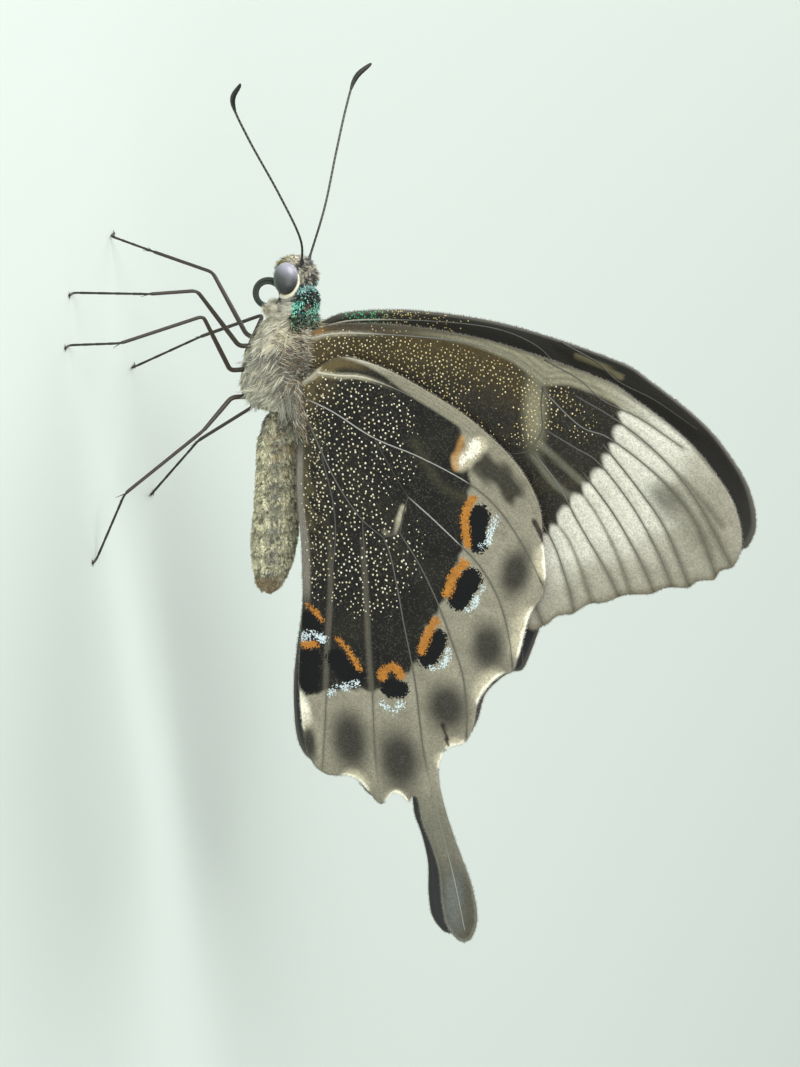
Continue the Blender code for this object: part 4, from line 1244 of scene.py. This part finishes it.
hair = hair_look()
for layer, seed in (("under", 31), ("outer", 32)):
    rng = np.random.default_rng(seed)
    roots, out, chart = rooted(THORAX_HAIRS, COAT_FROM, COAT_TO, rng)
    clear = (roots[:, 0] < 16.4) | (roots[:, 2] < 18.2)
    roots, out, chart = only(clear, roots, out, chart)
    below = ramp(-out[:, 2], 0.15, 0.8)
    high = ramp(roots[:, 2], 18.0, 19.2)
    lift = rng.uniform(0.1, 0.32, len(roots)) * (1 - 0.6 * high)
    way = DOWN_AND_BACK + below[:, None] * (UNDER_BACK - DOWN_AND_BACK)
    flow, own = gathered(roots, laid_flow(out, way, lift), THORAX_LOCKS, rng, 0.2, 0.5)
    sway = rng.normal(scale=0.2, size=(THORAX_LOCKS, 3))[own]
    curl = sway + 0.07 * rng.normal(size=(len(roots), 3)) + COAT_CURL - 0.24 * out
    root_tint, tip_tint = pelt(roots)
    strand = rng.choice((0.28, 0.9, 1.2), len(roots), p=(0.2, 0.48, 0.32))
    glow = (rng.uniform(0.8, 1.1, THORAX_LOCKS)[own] * strand)[:, None]
    length = THORAX_LENGTH * rng.uniform(0.5, 1.0, len(roots))
    length = length * (1 - 0.55 * below) * (1 - 0.66 * high)
    length *= np.interp(roots[:, 0], (COAT_FROM, 12.0, 17.0, COAT_TO), (0.5, 0.9, 0.95, 0.55))
    width = THORAX_WIDTH * rng.uniform(0.6, 1.3, len(roots))
    hairs(f"thorax_hair_{layer}", roots, out, flow, length, width, curl, root_tint * glow,
          tip_tint * glow, chart)

# Loose wisps reach back over the abdomen from each flank.
rng = np.random.default_rng(33)
roots, out, chart = rooted(WISP_TRIES, COAT_FROM, 12.4, rng)
flank = np.flatnonzero((roots[:, 2] > 16.0) & (np.abs(out[:, 1]) > 0.4))[:WISPS]
roots, out, chart = only(flank, roots, out, chart)
flow = ruffled(laid_flow(out, (-1.0, 0.0, 0.12), 0.12), rng, 0.1)
shade = rng.uniform(0.3, 1.1, len(roots))[:, None]
curl = np.column_stack((np.zeros(len(roots)), 0.1 * np.sign(roots[:, 1]),
                        rng.normal(-0.1, 0.12, len(roots))))
hairs("wisps", roots, out, flow, rng.uniform(1.6, 4.6, len(roots)),
      WISP_WIDTH * rng.uniform(0.7, 1.2, len(roots)), curl, shade * tone(190, 184, 160),
      shade * tone(236, 230, 208), chart)

# Short upright tufts, brown, gold and cream, close the gap between thorax and wing roots.
rng = np.random.default_rng(34)
roots, out, chart = rooted(TUFT_TRIES, 10.2, 17.4, rng)
flank = np.flatnonzero((roots[:, 2] > 16.4) & (np.abs(out[:, 1]) > 0.3))[:ROOT_TUFTS]
roots, out, chart = only(flank, roots, out, chart)
flow = ruffled(laid_flow(out, (-0.35, 0.0, 1.0), 0.3), rng, 0.2)
pick = rng.random((len(roots), 1)) + 0.25 * ramp(roots[:, :1], 15.0, 16.5)
shade = np.where(pick < 0.7, tone(176, 140, 84), tone(248, 240, 212))
shade = np.where(pick < 0.3, tone(74, 60, 38), shade)
hairs("root_tufts", roots, out, flow, rng.uniform(0.7, 1.9, len(roots)),
      TUFT_WIDTH * rng.uniform(0.7, 1.2, len(roots)), 0.2 * rng.normal(size=roots.shape),
      0.7 * shade, shade, chart)


# ---- Scales of the abdomen ------------------------------------------------------------------
# Short flat scales cover the abdomen like shingles, olive and buff, with pale gold ones strewn
# among them, and painted shade greys the first rings in the waist behind the thorax.
ABDOMEN_SCALES = 17000
SCALE_LENGTH, SCALE_WIDTH = 0.34, 0.07


def shingles(name, roots, out, flow, length, width, lift, tint, chart, look):
    """Flat scales: each an eight-sided sliver from its root to its tip, widest past the middle,
    that tips up by the lift."""
    count = len(roots)
    side = unit(np.cross(flow, out))
    ahead = np.array((0.0, 0.6, 0.6, 1.0, 0.5, 0.5))[:, None]
    across = np.array((0.0, 1.0, -1.0, 0.0, 0.0, 0.0))[:, None]
    height = np.array((-0.02, 0.0, 0.0, 0.0, 0.035, -0.02))[:, None]
    rise = height + ahead * lift[:, None, None]
    points = (roots[:, None] + length[:, None, None] * ahead * flow[:, None]
              + width[:, None, None] * across * side[:, None] + rise * out[:, None])
    fans = np.array(((0, 1, 4), (1, 3, 4), (3, 2, 4), (2, 0, 4),
                     (1, 0, 5), (3, 1, 5), (2, 3, 5), (0, 2, 5)))
    piece = mesh_object(name, points.reshape(-1, 3), (), copies(fans, count, 6))
    store(piece, "tint", np.repeat(tint, 6, axis=0))
    piece.data.materials.append(look)
    spot = np.hstack((ahead - 0.5, across / 2)) * 0.003
    chart_points(piece, (0.01 + 0.98 * chart[:, None] + spot).reshape(-1, 2))
    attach(piece, "root")


scale_look = tinted_look("body_scale", 0.6, 0.12)
rng = np.random.default_rng(41)
roots, out, chart = rooted(ABDOMEN_SCALES, -7.5, 10.4, rng)
flow = ruffled(laid_flow(out, (-1.0, 0.0, 0.0), 0.1), rng, 0.22)
x, _, z = roots.T
ring = ring_gap(x)
fore = ramp(x, 3.6, 5.0) * ramp(z, 14.4, 15.4) * ramp(wobble(roots, 0.5, 44), -0.4, 0.4)
middle = np.interp(-x, -STATIONS[:, 0], (STATIONS[:, 1] + STATIONS[:, 2]) / 2)
spot = np.exp(-((z - middle - 0.3) / 0.55) ** 2) * np.exp(-((ring - 0.2) / 0.16) ** 2)
tint = layered(
    pelt(roots)[1] * rng.uniform(0.45, 1.0, (len(roots), 1)),
    (0.75 * ramp(wobble(roots, 0.4, 43), 0.2, 0.7), 86, 77, 52),
    (0.9 * ramp(wobble(roots, 0.21, 42), 0.15, 0.5), 255, 249, 214),
    (0.5 * fore, 150, 116, 70),
    (0.8 * spot, 104, 108, 106),
    (0.55 * np.exp(-(ring / 0.09) ** 2), 88, 86, 72),
    (0.8 * ramp(-x, 5.3, 6.0) * (1 - 0.7 * ramp(z, 13.4, 14.2)), 140, 114, 78),
    # painted shade in the waist, where the abdomen meets the thorax: its first rings greyed
    (0.75 * ramp(x, 6.4, 8.4) * ramp(wobble(roots, 0.5, 45), -0.9, 0.3), 66, 66, 62))
shingles("abdomen_scales", roots, out, flow, SCALE_LENGTH * rng.uniform(0.6, 1.3, len(roots)),
         SCALE_WIDTH * rng.uniform(0.7, 1.4, len(roots)), rng.uniform(0.02, 0.14, len(roots)),
         tint, chart, scale_look)


# ---- Collar and head scales -----------------------------------------------------------------
# The neck is dark with a collar of metallic scales, turquoise and mint. The head is dark above
# with cream tufts, and a cream band runs behind and under each eye.
COLLAR_SCALES, COLLAR_LENGTH, COLLAR_WIDTH = 6500, 0.3, 0.075
NAPE_HAIRS, NAPE_WIDTH = 700, 0.02
HEAD_HAIRS, HEAD_LOCKS, HEAD_LENGTH, HEAD_WIDTH = 5200, 190, 0.58, 0.032
CHEEK_HAIRS, CHEEK_LOCKS, CHEEK_LENGTH, CHEEK_WIDTH = 2600, 70, 1.15, 0.036
EYE = (21.8, 1.45, 18.4)
EYE_AXES = (1.5, 1.0, 1.2)
EYE_TILT = -8.0


def clear_of_eyes(roots):
    """Which roots are not under an eye."""
    gap = np.hypot((roots[:, 0] - EYE[0]) / EYE_AXES[0], (roots[:, 2] - EYE[2]) / EYE_AXES[2])
    return (gap > 0.95) | (np.abs(roots[:, 1]) < 0.5)


rng = np.random.default_rng(51)
roots, out, chart = rooted(COLLAR_SCALES, 16.6, 21.5, rng, -0.75, np.pi + 0.75)
x, _, z = roots.T
clear = clear_of_eyes(roots) & (z > 18.4 - 0.5 * ramp(x, 18.4, 19.2)) & (x > 17.0)
roots, out, chart = only(clear, roots, out, chart)
flow = ruffled(laid_flow(out, (-0.8, 0.0, -0.35), 0.15), rng, 0.35)
x, _, z = roots.T
share = rng.random((len(roots), 1))
mint = np.where(share < 0.8, tone(60, 180, 170), tone(14, 70, 84))
mint = np.where(share < 0.62, tone(160, 244, 212), mint)
sky = np.where(share < 0.75, tone(192, 240, 232), tone(84, 170, 176))
moss = np.where(share < 0.5, tone(150, 166, 134), tone(70, 96, 78))
mottle = wobble(roots, 0.4, 52)
low_band = np.exp(-((x - 19.3 + 0.7 * ramp(z, 19.4, 20.4)) / 0.75) ** 2)
low_band = low_band * ramp(z, 18.0, 18.6) * ramp(mottle, -1.1, 0.0)
high_band = np.exp(-((x - 20.75) / 0.5) ** 2) * ramp(z, 18.9, 19.4) * ramp(mottle, -1.4, -0.2)
tint = plain(len(roots), 30, 32, 29)
for band, shine in ((0.6 * (1 - ramp(x, 18.5, 18.9)), moss), (low_band, mint), (high_band, sky)):
    tint = np.where((rng.random(len(roots)) < band)[:, None], shine, tint)
rust = 0.9 * patch(roots[:, ::2], (19.2, 19.9), (0.35, 0.3), 0.0, 0.8)
tint = laid(tint, rust, tone(94, 52, 36))
shingles("collar_scales", roots, out, flow, COLLAR_LENGTH * rng.uniform(0.6, 1.2, len(roots)),
         COLLAR_WIDTH * rng.uniform(0.7, 1.3, len(roots)), rng.uniform(0.03, 0.2, len(roots)),
         tint, chart, tinted_look("metal_scale", 0.3, 0.1))

roots, out, chart = rooted(NAPE_HAIRS, 17.4, 21.4, rng, -0.9, np.pi + 0.9)
roots, out, chart = only(roots[:, 2] > 19.0, roots, out, chart)
flow = ruffled(laid_flow(out, (-0.7, 0.0, 0.2), 0.7), rng, 0.25)
shade = rng.uniform(0.6, 1.0, (len(roots), 1)) * tone(206, 218, 196)
hairs("nape_hair", roots, out, flow, rng.uniform(0.3, 0.62, len(roots)),
      NAPE_WIDTH * rng.uniform(0.7, 1.2, len(roots)), 0.2 * rng.normal(size=roots.shape),
      0.7 * shade, shade, chart)

roots, out, chart = rooted(HEAD_HAIRS, 20.5, 23.5, rng)
clear = clear_of_eyes(roots) & ((roots[:, 0] > 21.3) | (roots[:, 2] < 18.6))
roots, out, chart = only(clear, roots, out, chart)
flow = laid_flow(out, (-0.4, 0.0, 0.1), rng.uniform(0.7, 1.4, len(roots)))
flow, own = gathered(roots, flow, HEAD_LOCKS, rng, 0.3, 0.5)
x, _, z = roots.T
pick = rng.random(HEAD_LOCKS)[own]
crown = ramp(z, 19.4, 19.7) * ramp(x, 21.1, 21.4) * (pick < 0.5)
dark = np.maximum(crown, ramp(x, 22.3, 22.6) * (pick < 0.7))
face = ramp(x, 22.8, 23.1) * (1 - ramp(z, 19.0, 19.4)) * (pick > 0.4)
root_tint = layered(plain(len(roots), 110, 100, 74), (dark, 36, 34, 30))
tip_tint = layered(plain(len(roots), 240, 234, 210), (dark, 52, 50, 44), (face, 196, 182, 96))
hairs("head_hair", roots, out, flow, HEAD_LENGTH * rng.uniform(0.5, 1.1, len(roots)),
      HEAD_WIDTH * rng.uniform(0.7, 1.2, len(roots)), rng.normal(scale=0.12, size=(len(roots), 3)),
      root_tint, tip_tint, chart)

roots, out, chart = rooted(CHEEK_HAIRS, 18.2, 20.7, rng, np.pi + 0.15, 2 * np.pi - 0.15)
flow = laid_flow(out, (0.1, 0.0, -1.0), rng.uniform(0.25, 0.6, len(roots)))
flow, own = gathered(roots, flow, CHEEK_LOCKS, rng, 0.2, 0.4)
hairs("cheek_hair", roots, out, flow, CHEEK_LENGTH * rng.uniform(0.5, 1.0, len(roots)),
      CHEEK_WIDTH * rng.uniform(0.7, 1.2, len(roots)), 0.2 * rng.normal(size=(len(roots), 3)),
      plain(len(roots), 176, 166, 132), plain(len(roots), 244, 240, 222), chart)


# ---- Eyes -----------------------------------------------------------------------------------
# Each compound eye is a smooth bulging egg of thousands of tiny facets, grey, with painted light
# in its colour: a pale lavender grey painted highlight where it looks ahead and up toward the key
# light, and near black painted shade below. A cream rim of hairs lies behind and under it.
RIM_HAIRS, RIM_WIDTH = 900, 0.036
RIM_FROM, RIM_TO = 68, 205   # degrees round the eye, from ahead over the top, with rim hairs


def tilted(ahead, up, degrees):
    """Lengths ahead and up, turned nose down by the degrees."""
    lean = np.radians(degrees)
    return ahead * np.cos(lean) + up * np.sin(lean), up * np.cos(lean) - ahead * np.sin(lean)


def egg(centre, axes, tilt, rows=48, around=96):
    """A closed egg: circles round the sideways axis, turned by the tilt, with a point at each
    pole."""
    rise = np.linspace(-np.pi / 2, np.pi / 2, rows + 1)[1:-1, None]
    turn = np.arange(around) * 2 * np.pi / around
    ahead, up = tilted(axes[0] * np.cos(rise) * np.cos(turn),
                       axes[2] * np.cos(rise) * np.sin(turn), tilt)
    aside = np.broadcast_to(axes[1] * np.sin(rise), ahead.shape)
    shell = np.stack((ahead, aside, up), -1).reshape(-1, 3)
    shell = np.vstack((shell, (0.0, -axes[1], 0.0), (0.0, axes[1], 0.0))) + centre
    return shell, bands(rows - 1, around), caps(rows - 1, around)


def eye_finish():
    """Glossy horn over tiny facets, in the eye's stored tint, which carries its painted light and
    shade.
    """
    made, tree, shader = material("eye", 0.3)
    place = node(tree, "TexCoord").outputs["Object"]
    facet = node(tree, "TexVoronoi", Vector=place, Scale=16000.0, Randomness=0.1)
    tree.links.new(field(tree, "tint", True), shader.inputs["Base Color"])
    bumped(tree, shader, facet.outputs["Distance"], 0.15, 0.00001)
    shader.inputs["Coat Weight"].default_value = 0.4
    shader.inputs["Coat Roughness"].default_value = 0.15
    return made


eye_look = eye_finish()
for place, side in SIDES:
    centre = np.array((EYE[0], side * EYE[1], EYE[2]))
    shell, quads, fans = egg(centre, EYE_AXES, EYE_TILT)
    piece = mesh_object(f"compound_eye_{place}", shell, quads, fans)
    # Painted light: painted shade, near black, below; a painted highlight, pale lavender, above.
    height = (shell - centre) @ (0.8, 0.0, 0.45)
    store(piece, "tint", layered(plain(len(shell), 20, 22, 18),
                                 (ramp(height, -1.1, 0.6), 70, 73, 72),
                                 (ramp(height, 0.1, 1.5), 172, 170, 184)))
    piece.data.materials.append(eye_look)
    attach(piece, "root")
    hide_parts(f"eye_{place}")
    rng = np.random.default_rng(55 if side > 0 else 56)
    angle = rng.uniform(np.radians(RIM_FROM), np.radians(RIM_TO), RIM_HAIRS)
    spot = np.degrees(angle)
    inside = np.interp(spot, (RIM_FROM, 130, 165, RIM_TO), (0.95, 0.87, 0.9, 0.95))
    ahead, up = tilted(inside * EYE_AXES[0] * np.cos(angle),
                       inside * EYE_AXES[2] * np.sin(angle), EYE_TILT)
    away = np.column_stack((ahead, np.zeros(RIM_HAIRS), up))
    roots = away + centre
    roots[:, 1] += side * (0.95 * EYE_AXES[1] * np.sqrt(1 - inside**2) - 0.03)
    out = np.array((0.0, side, 0.0)) + rng.normal(scale=0.15, size=(RIM_HAIRS, 3))
    flow = unit(unit(away) + 0.12 * out + (-0.2, 0.0, -0.15))
    long = np.interp(spot, (RIM_FROM, 100, 150, 190, RIM_TO), (0.16, 0.3, 0.42, 0.55, 0.4))
    hairs(f"eye_rim_{place}", roots, unit(out), flow, long * rng.uniform(0.7, 1.05, RIM_HAIRS),
          RIM_WIDTH * rng.uniform(0.7, 1.2, RIM_HAIRS), -0.25 * out,
          plain(RIM_HAIRS, 198, 188, 154), plain(RIM_HAIRS, 248, 244, 228),
          np.column_stack((angle / 7, rng.random(RIM_HAIRS))))


# ---- Palps ----------------------------------------------------------------------------------
# Two short jointed palps turn up under the head, wrapped in cream scales.
PALP = (19.0, 0.95, 16.5)
PALP_AXES = (0.42, 0.36, 1.0)
PALP_TILT = 20.0
PALP_CORE = 0.75             # of the whole palp; its scales fill the rest
PALP_ROWS, PALP_AROUND = 20, 32
PALP_HAIRS, PALP_LENGTH, PALP_WIDTH = 1100, 0.62, 0.03
palp_look = tinted_look("palp", 0.8)
for place, side in SIDES:
    centre = np.array((PALP[0], side * PALP[1], PALP[2]))
    shell, quads, fans = egg(centre, PALP_CORE * np.array(PALP_AXES), PALP_TILT, PALP_ROWS,
                             PALP_AROUND)
    piece = mesh_object(f"palp_skin_{place}", shell, quads, fans)
    store(piece, "tint", plain(len(shell), 226, 216, 186))
    piece.data.materials.append(palp_look)
    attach(piece, "root")
    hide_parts(f"palp_{place}")
    rng = np.random.default_rng(61 if side > 0 else 62)
    pick = rng.integers(0, len(shell) - 2, PALP_HAIRS)
    roots, out = shell[pick], unit(shell[pick] - centre)
    flow = ruffled(laid_flow(out, (0.4, 0.0, 1.0), 0.35), rng, 0.15)
    chart = np.column_stack((pick % PALP_AROUND / PALP_AROUND, pick // PALP_AROUND / PALP_ROWS))
    hairs(f"palp_hair_{place}", roots, out, flow, PALP_LENGTH * rng.uniform(0.6, 1.1, len(roots)),
          PALP_WIDTH * rng.uniform(0.8, 1.2, len(roots)), np.zeros_like(roots),
          plain(len(roots), 206, 194, 160), plain(len(roots), 250, 246, 228), chart)


# ---- Tongue ---------------------------------------------------------------------------------
# The sucking tube is wound like a watch spring under the head, dark, ringed and a little glossy.
COIL = (20.2, 0.0, 16.1)
COIL_OUTER, COIL_INNER = 1.42, 0.95
COIL_START, COIL_TURN = 60.0, -590.0
COIL_ASIDE = 0.14            # how far its two ends lie to either side
COIL_STEPS, TONGUE_SIDES, TONGUE_RADIUS = 260, 14, 0.2
share = np.linspace(0.0, 1.0, COIL_STEPS)
turn = np.radians(COIL_START + COIL_TURN * share)
reach = np.linspace(COIL_OUTER, COIL_INNER, COIL_STEPS)
aside = COIL_ASIDE * (2 * share - 1)
route = np.column_stack((reach * np.cos(turn), aside, reach * np.sin(turn))) + COIL
ribs = 1 + 0.05 * np.sin(np.arange(COIL_STEPS) * 2.1)
radii = TONGUE_RADIUS * (1 - 0.25 * share) * ribs
points, quads, fans = tube(route, radii, TONGUE_SIDES, (0.0, 1.0, 0.0))
tongue = mesh_object("tongue", points, quads, fans)
store(tongue, "tint", plain(len(points), 44, 52, 45))
horn_look = tinted_look("dark_horn", 0.32, 0.15)
tongue.data.materials.append(horn_look)
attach(tongue, "root")
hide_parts("proboscis")


# ---- Feelers --------------------------------------------------------------------------------
# A feeler is a string of about forty short joints that ends in a curved club.
FEELER_LEFT = ((23.75, 1.05, 20.15), (25.6, 2.2, 20.35), (30.3, 4.4, 19.5), (35.9, 7.2, 18.2),
               (39.5, 8.9, 17.7), (41.3, 9.9, 18.9))
FEELER_RIGHT = ((23.75, -1.0, 20.4), (27.2, -3.1, 21.5), (31.6, -5.5, 22.5), (35.4, -7.7, 23.4),
                (37.7, -9.1, 24.2), (38.8, -10.0, 25.6))
FEELER_RADIUS, CLUB_RADIUS, CLUB_SHARE = 0.1, 0.14, 0.16
JOINTS, JOINT_STEPS, FEELER_SIDES = 44, 6, 12
for place, corners in (("left", FEELER_LEFT), ("right", FEELER_RIGHT)):
    corners = np.array(corners)
    corners[0] += (-0.9, -0.35 * np.sign(corners[0][1]), -0.35)
    route = even(spline(corners, 10), JOINTS * JOINT_STEPS + 1)
    share = np.linspace(0.0, 1.0, len(route))
    bead = 0.012 * np.abs(np.sin(np.pi * JOINTS * share))
    club = np.clip((share - 1 + CLUB_SHARE) / CLUB_SHARE / 1.04, 0, 1)
    club = CLUB_RADIUS * np.sin(np.pi * club) ** 0.8
    base = 0.09 * (1 - ramp(share, 0.01, 0.035))
    radii = FEELER_RADIUS + bead + club + base - 0.03 * ramp(share, 0.985, 1.0)
    pale = 0.55 * (np.cos(2 * np.pi * JOINTS * share) < -0.2)
    pale = pale * ramp(share, 0.1, 0.3) * (1 - ramp(share, 0.8, 0.9))
    tint = layered(plain(len(share), 30, 28, 25), (pale, 108, 116, 98))
    feeler = mesh_object(f"feeler_{place}", *tube(route, radii, FEELER_SIDES))
    store(feeler, "tint", ringed(tint, FEELER_SIDES))
    feeler.data.materials.append(horn_look)
    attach(feeler, "root")
    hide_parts(f"antenna_{place}", f"antenna_club_{place}")


# ---- Legs -----------------------------------------------------------------------------------
# Six slender legs, each a thigh, a shin with two spurs, and a foot of five joints with claws,
# dark brown, darker on the foot.
LEGS = {
    "fore_left": ((16.0, 1.9, 13.3), (22.1, 5.4, 11.1), (22.4, 6.9, 7.1), (23.1, 8.5, 0.25)),
    "mid_left": ((13.9, 2.3, 12.3), (19.9, 6.2, 11.6), (18.7, 9.8, 4.7), (19.0, 11.7, 0.25)),
    "hind_left": ((11.4, 2.3, 12.1), (9.2, 5.4, 10.0), (4.9, 10.1, 3.3), (-0.8, 12.2, 0.25)),
    "fore_right": ((16.2, -1.9, 13.0), (21.8, -3.8, 10.0), (23.7, -6.0, 3.9), (25.4, -7.2, 0.25)),
    "mid_right": ((14.2, -2.4, 12.5), (17.3, -5.0, 13.9), (15.4, -6.2, 7.4), (12.7, -8.1, 0.25)),
    "hind_right": ((11.4, -2.4, 12.2), (8.9, -4.4, 12.0), (5.6, -6.3, 5.8), (0.4, -8.6, 0.25)),
}
SOLE, BEND = 1.2, 0.5
FOOT_RADIUS, SHIN_RADIUS, THIGH_RADIUS = 0.115, 0.165, 0.22
HIP_RISE = np.array((-0.3, 0.0, 1.5))   # from the hip to where the leg leaves the breast
LEG_STEPS, LEG_SIDES, FOOT_JOINTS = 200, 12, 5
SPIKE_STEPS, SPIKE_SIDES = 6, 6         # of the spurs and claws
HORN_BROWN = (40, 36, 30)


def rounded(corners, reach):
    """The straight runs between the corners, with each inner corner cut by a short curve."""
    corners = np.array(corners, float)
    line = [corners[0]]
    t = np.linspace(0.0, 1.0, 7)[:, None]
    for before, corner, after in zip(corners, corners[1:], corners[2:]):
        start = corner + reach * (before - corner) / np.linalg.norm(before - corner)
        end = corner + reach * (after - corner) / np.linalg.norm(after - corner)
        line.extend(start * (1 - t) ** 2 + corner * 2 * t * (1 - t) + end * t**2)
    line.append(corners[-1])
    return np.array(line)


leg_look = tinted_look("leg", 0.5, 0.3, 4000.0)
for place, (hip, knee, ankle, toe) in LEGS.items():
    hip, knee, ankle, toe = map(np.array, (hip, knee, ankle, toe))
    toe = toe * (1, 1, 0) + (0, 0, FOOT_RADIUS)
    outward = np.array((0.0, np.sign(toe[1]), 0.0))
    heel = toe - outward * SOLE
    corners = (hip, knee, ankle, heel, toe)
    lengths = [np.linalg.norm(b - a) for a, b in zip(corners, corners[1:])]
    thigh, shin, _, whole = np.cumsum(lengths)
    inner = hip * (1, 0.4, 1) + HIP_RISE
    base = np.linalg.norm(hip - inner)
    route = even(rounded((inner, *corners), BEND), LEG_STEPS)
    run = np.linspace(-base, whole, LEG_STEPS)
    stops = (-base, thigh * 0.4, thigh - 0.2, thigh, thigh + 0.5, shin - 0.2, shin, shin + 0.3,
             whole)
    radii = np.interp(run, stops, (THIGH_RADIUS, THIGH_RADIUS, 0.18, 0.15, SHIN_RADIUS,
                                   SHIN_RADIUS * 0.95, 0.13, FOOT_RADIUS + 0.02, FOOT_RADIUS))
    joint = (run - shin) / (whole - shin) * FOOT_JOINTS
    bead = FOOT_RADIUS * (0.84 + 0.2 * (joint % 1) ** 0.7)
    radii = np.where(run > shin, np.minimum(radii, bead), radii)
    parts = [tube(route, radii, LEG_SIDES)]
    tint = layered(plain(LEG_STEPS, 52, 45, 34), (ramp(run, shin - 0.5, shin + 0.5), 34, 30, 25))
    tints = [np.repeat(tint, LEG_SIDES, axis=0), plain(2, *HORN_BROWN)]
    down = (ankle - knee) / lengths[1]
    aside = unit(np.cross(down, (1.0, 0.3, 0.2))[None])[0]
    spikes = [(ankle, down * 0.85 + aside * s) for s in (0.4, -0.4)]
    spikes += [(toe - outward * 0.14 + (s * 0.06, 0, 0), outward * 0.1 + (s * 0.28, 0, -0.02))
               for s in (-1, 1)]
    for root, way in spikes:
        t = np.linspace(0.0, 1.0, SPIKE_STEPS)[:, None]
        thin = np.linspace(0.055, 0.012, SPIKE_STEPS)
        parts.append(tube(root + way * t, thin, SPIKE_SIDES, (0.3, 0.2, 1.0)))
        tints.append(plain(len(parts[-1][0]), *HORN_BROWN))
    leg = mesh_object(f"leg_{place}", *joined(parts))
    store(leg, "tint", np.vstack(tints))
    leg.data.materials.append(leg_look)
    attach(leg, "root")
    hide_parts(f"femur_{place}", f"tibia_{place}", f"tarsus_{place}")


# ---- Fringe and root hair of the wings ------------------------------------------------------
# Long narrow scales stand side by side in the rim of each wing, cream in the hollows of the
# hind wing and grey brown along the rest. Soft brown, gold and cream hair covers each wing's
# root where it leaves the thorax.
CILIA, CILIUM_LENGTH, CILIUM_WIDTH = 1500, 0.3, 0.05
ROOT_HAIRS, ROOT_LENGTH, ROOT_WIDTH = 620, 1.05, 0.034
FORE_ROOT, HIND_ROOT = ((12.9, 18.2), (17.3, 19.9)), ((7.0, 17.3), (13.4, 18.9))    # corners


def fringe(name, outline, wing, lit):
    """Scales along a wing's rim, pointing out of it in the wing's own surface."""
    rng = np.random.default_rng(71)
    rim = even(np.vstack((outline, outline[:1])), CILIA + 1)[:-1]
    flat = np.zeros(CILIA)
    roots = set_wing(drawn_in(rim, 0.08), flat, *wing)
    ahead = set_wing(drawn_in(rim, -1.0), flat, *wing)
    flow = ruffled(unit(ahead - roots), rng, 0.12)
    out = np.tile((0.0, float(wing[0]), 0.0), (CILIA, 1))
    shade = rng.uniform(0.55, 1.0, (CILIA, 1))
    tint = layered(plain(CILIA, 104, 96, 80), (lit(rim), 250, 246, 230)) * shade
    low, high = rim.min(axis=0), rim.max(axis=0)
    hairs(name, roots, out, flow, CILIUM_LENGTH * rng.uniform(0.5, 1.0, CILIA),
          CILIUM_WIDTH * rng.uniform(0.6, 1.1, CILIA), np.zeros((CILIA, 3)), 0.8 * tint, tint,
          (rim - low) / np.max(high - low))


def root_hair(name, corners, outline, way, wing):
    """Hair of a wing's root, on its outer face: it lies the given way along the wing, tipped up
    from it, and is thinner to the rear, with more of it cream toward the front."""
    rng = np.random.default_rng(72)
    low, high = np.array(corners)
    spots = rng.uniform(low, high, (2 * ROOT_HAIRS, 2))
    spots[:, 1] = low[1] + (high[1] - low[1]) * rng.random(len(spots)) ** 1.5
    dense = ramp(spots[:, 0], low[0] - 1.0, low[0] + 4.0)
    on_wing = within(spots, np.vstack((outline, outline[:1]))) > -0.5
    spots = spots[on_wing & (rng.random(len(spots)) < dense)][:ROOT_HAIRS]
    count = len(spots)
    roots = set_wing(spots, np.full(count, SHEET), *wing)
    ahead = set_wing(spots + way, np.full(count, SHEET + 0.2), *wing)
    flow = unit(unit(ahead - roots) + rng.normal(scale=0.2, size=roots.shape) * (1, 0.3, 1))
    out = np.tile((0.0, float(wing[0]), 0.0), (count, 1))
    pick = rng.random((count, 1)) + 0.25 * ramp(spots[:, :1], 14.5, 16.5)
    tint = np.where(pick < 0.8, tone(156, 126, 76), tone(246, 238, 208))
    tint = np.where(pick < 0.5, tone(62, 50, 32), tint)
    hairs(name, roots, out, flow, ROOT_LENGTH * rng.uniform(0.3, 1.0, count),
          ROOT_WIDTH * rng.uniform(0.7, 1.2, count), np.zeros((count, 3)), 0.7 * tint, tint,
          (spots - low) / np.max(high - low))


def fore_lit(rim):
    """Where a fore wing's fringe is pale: in the hollows of its margin."""
    return 0.5 * ramp(-rim[:, 0], 5.0, 7.0) * ramp(np.sin(rim[:, 1] * 2.1), -0.2, 0.6)


def hind_lit(rim):
    """Where a hind wing's fringe is cream: in its cream hollows."""
    return 1 - ramp(from_hollows(rim), 0.85, 1.15)


for place, side in SIDES:
    fore, hind = wing_pair(side)
    root_hair(f"fore_root_hair_{place}", FORE_ROOT, fore_rim, (-0.25, 1.0), fore)
    root_hair(f"hind_root_hair_{place}", HIND_ROOT, hind_rim, (-0.85, 0.5), hind)
    fringe(f"fore_fringe_{place}", fore_rim, fore, fore_lit)
    fringe(f"hind_fringe_{place}", hind_rim, hind, hind_lit)


# ---- Bounds of what is drawn ----------------------------------------------------------------
low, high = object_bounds()
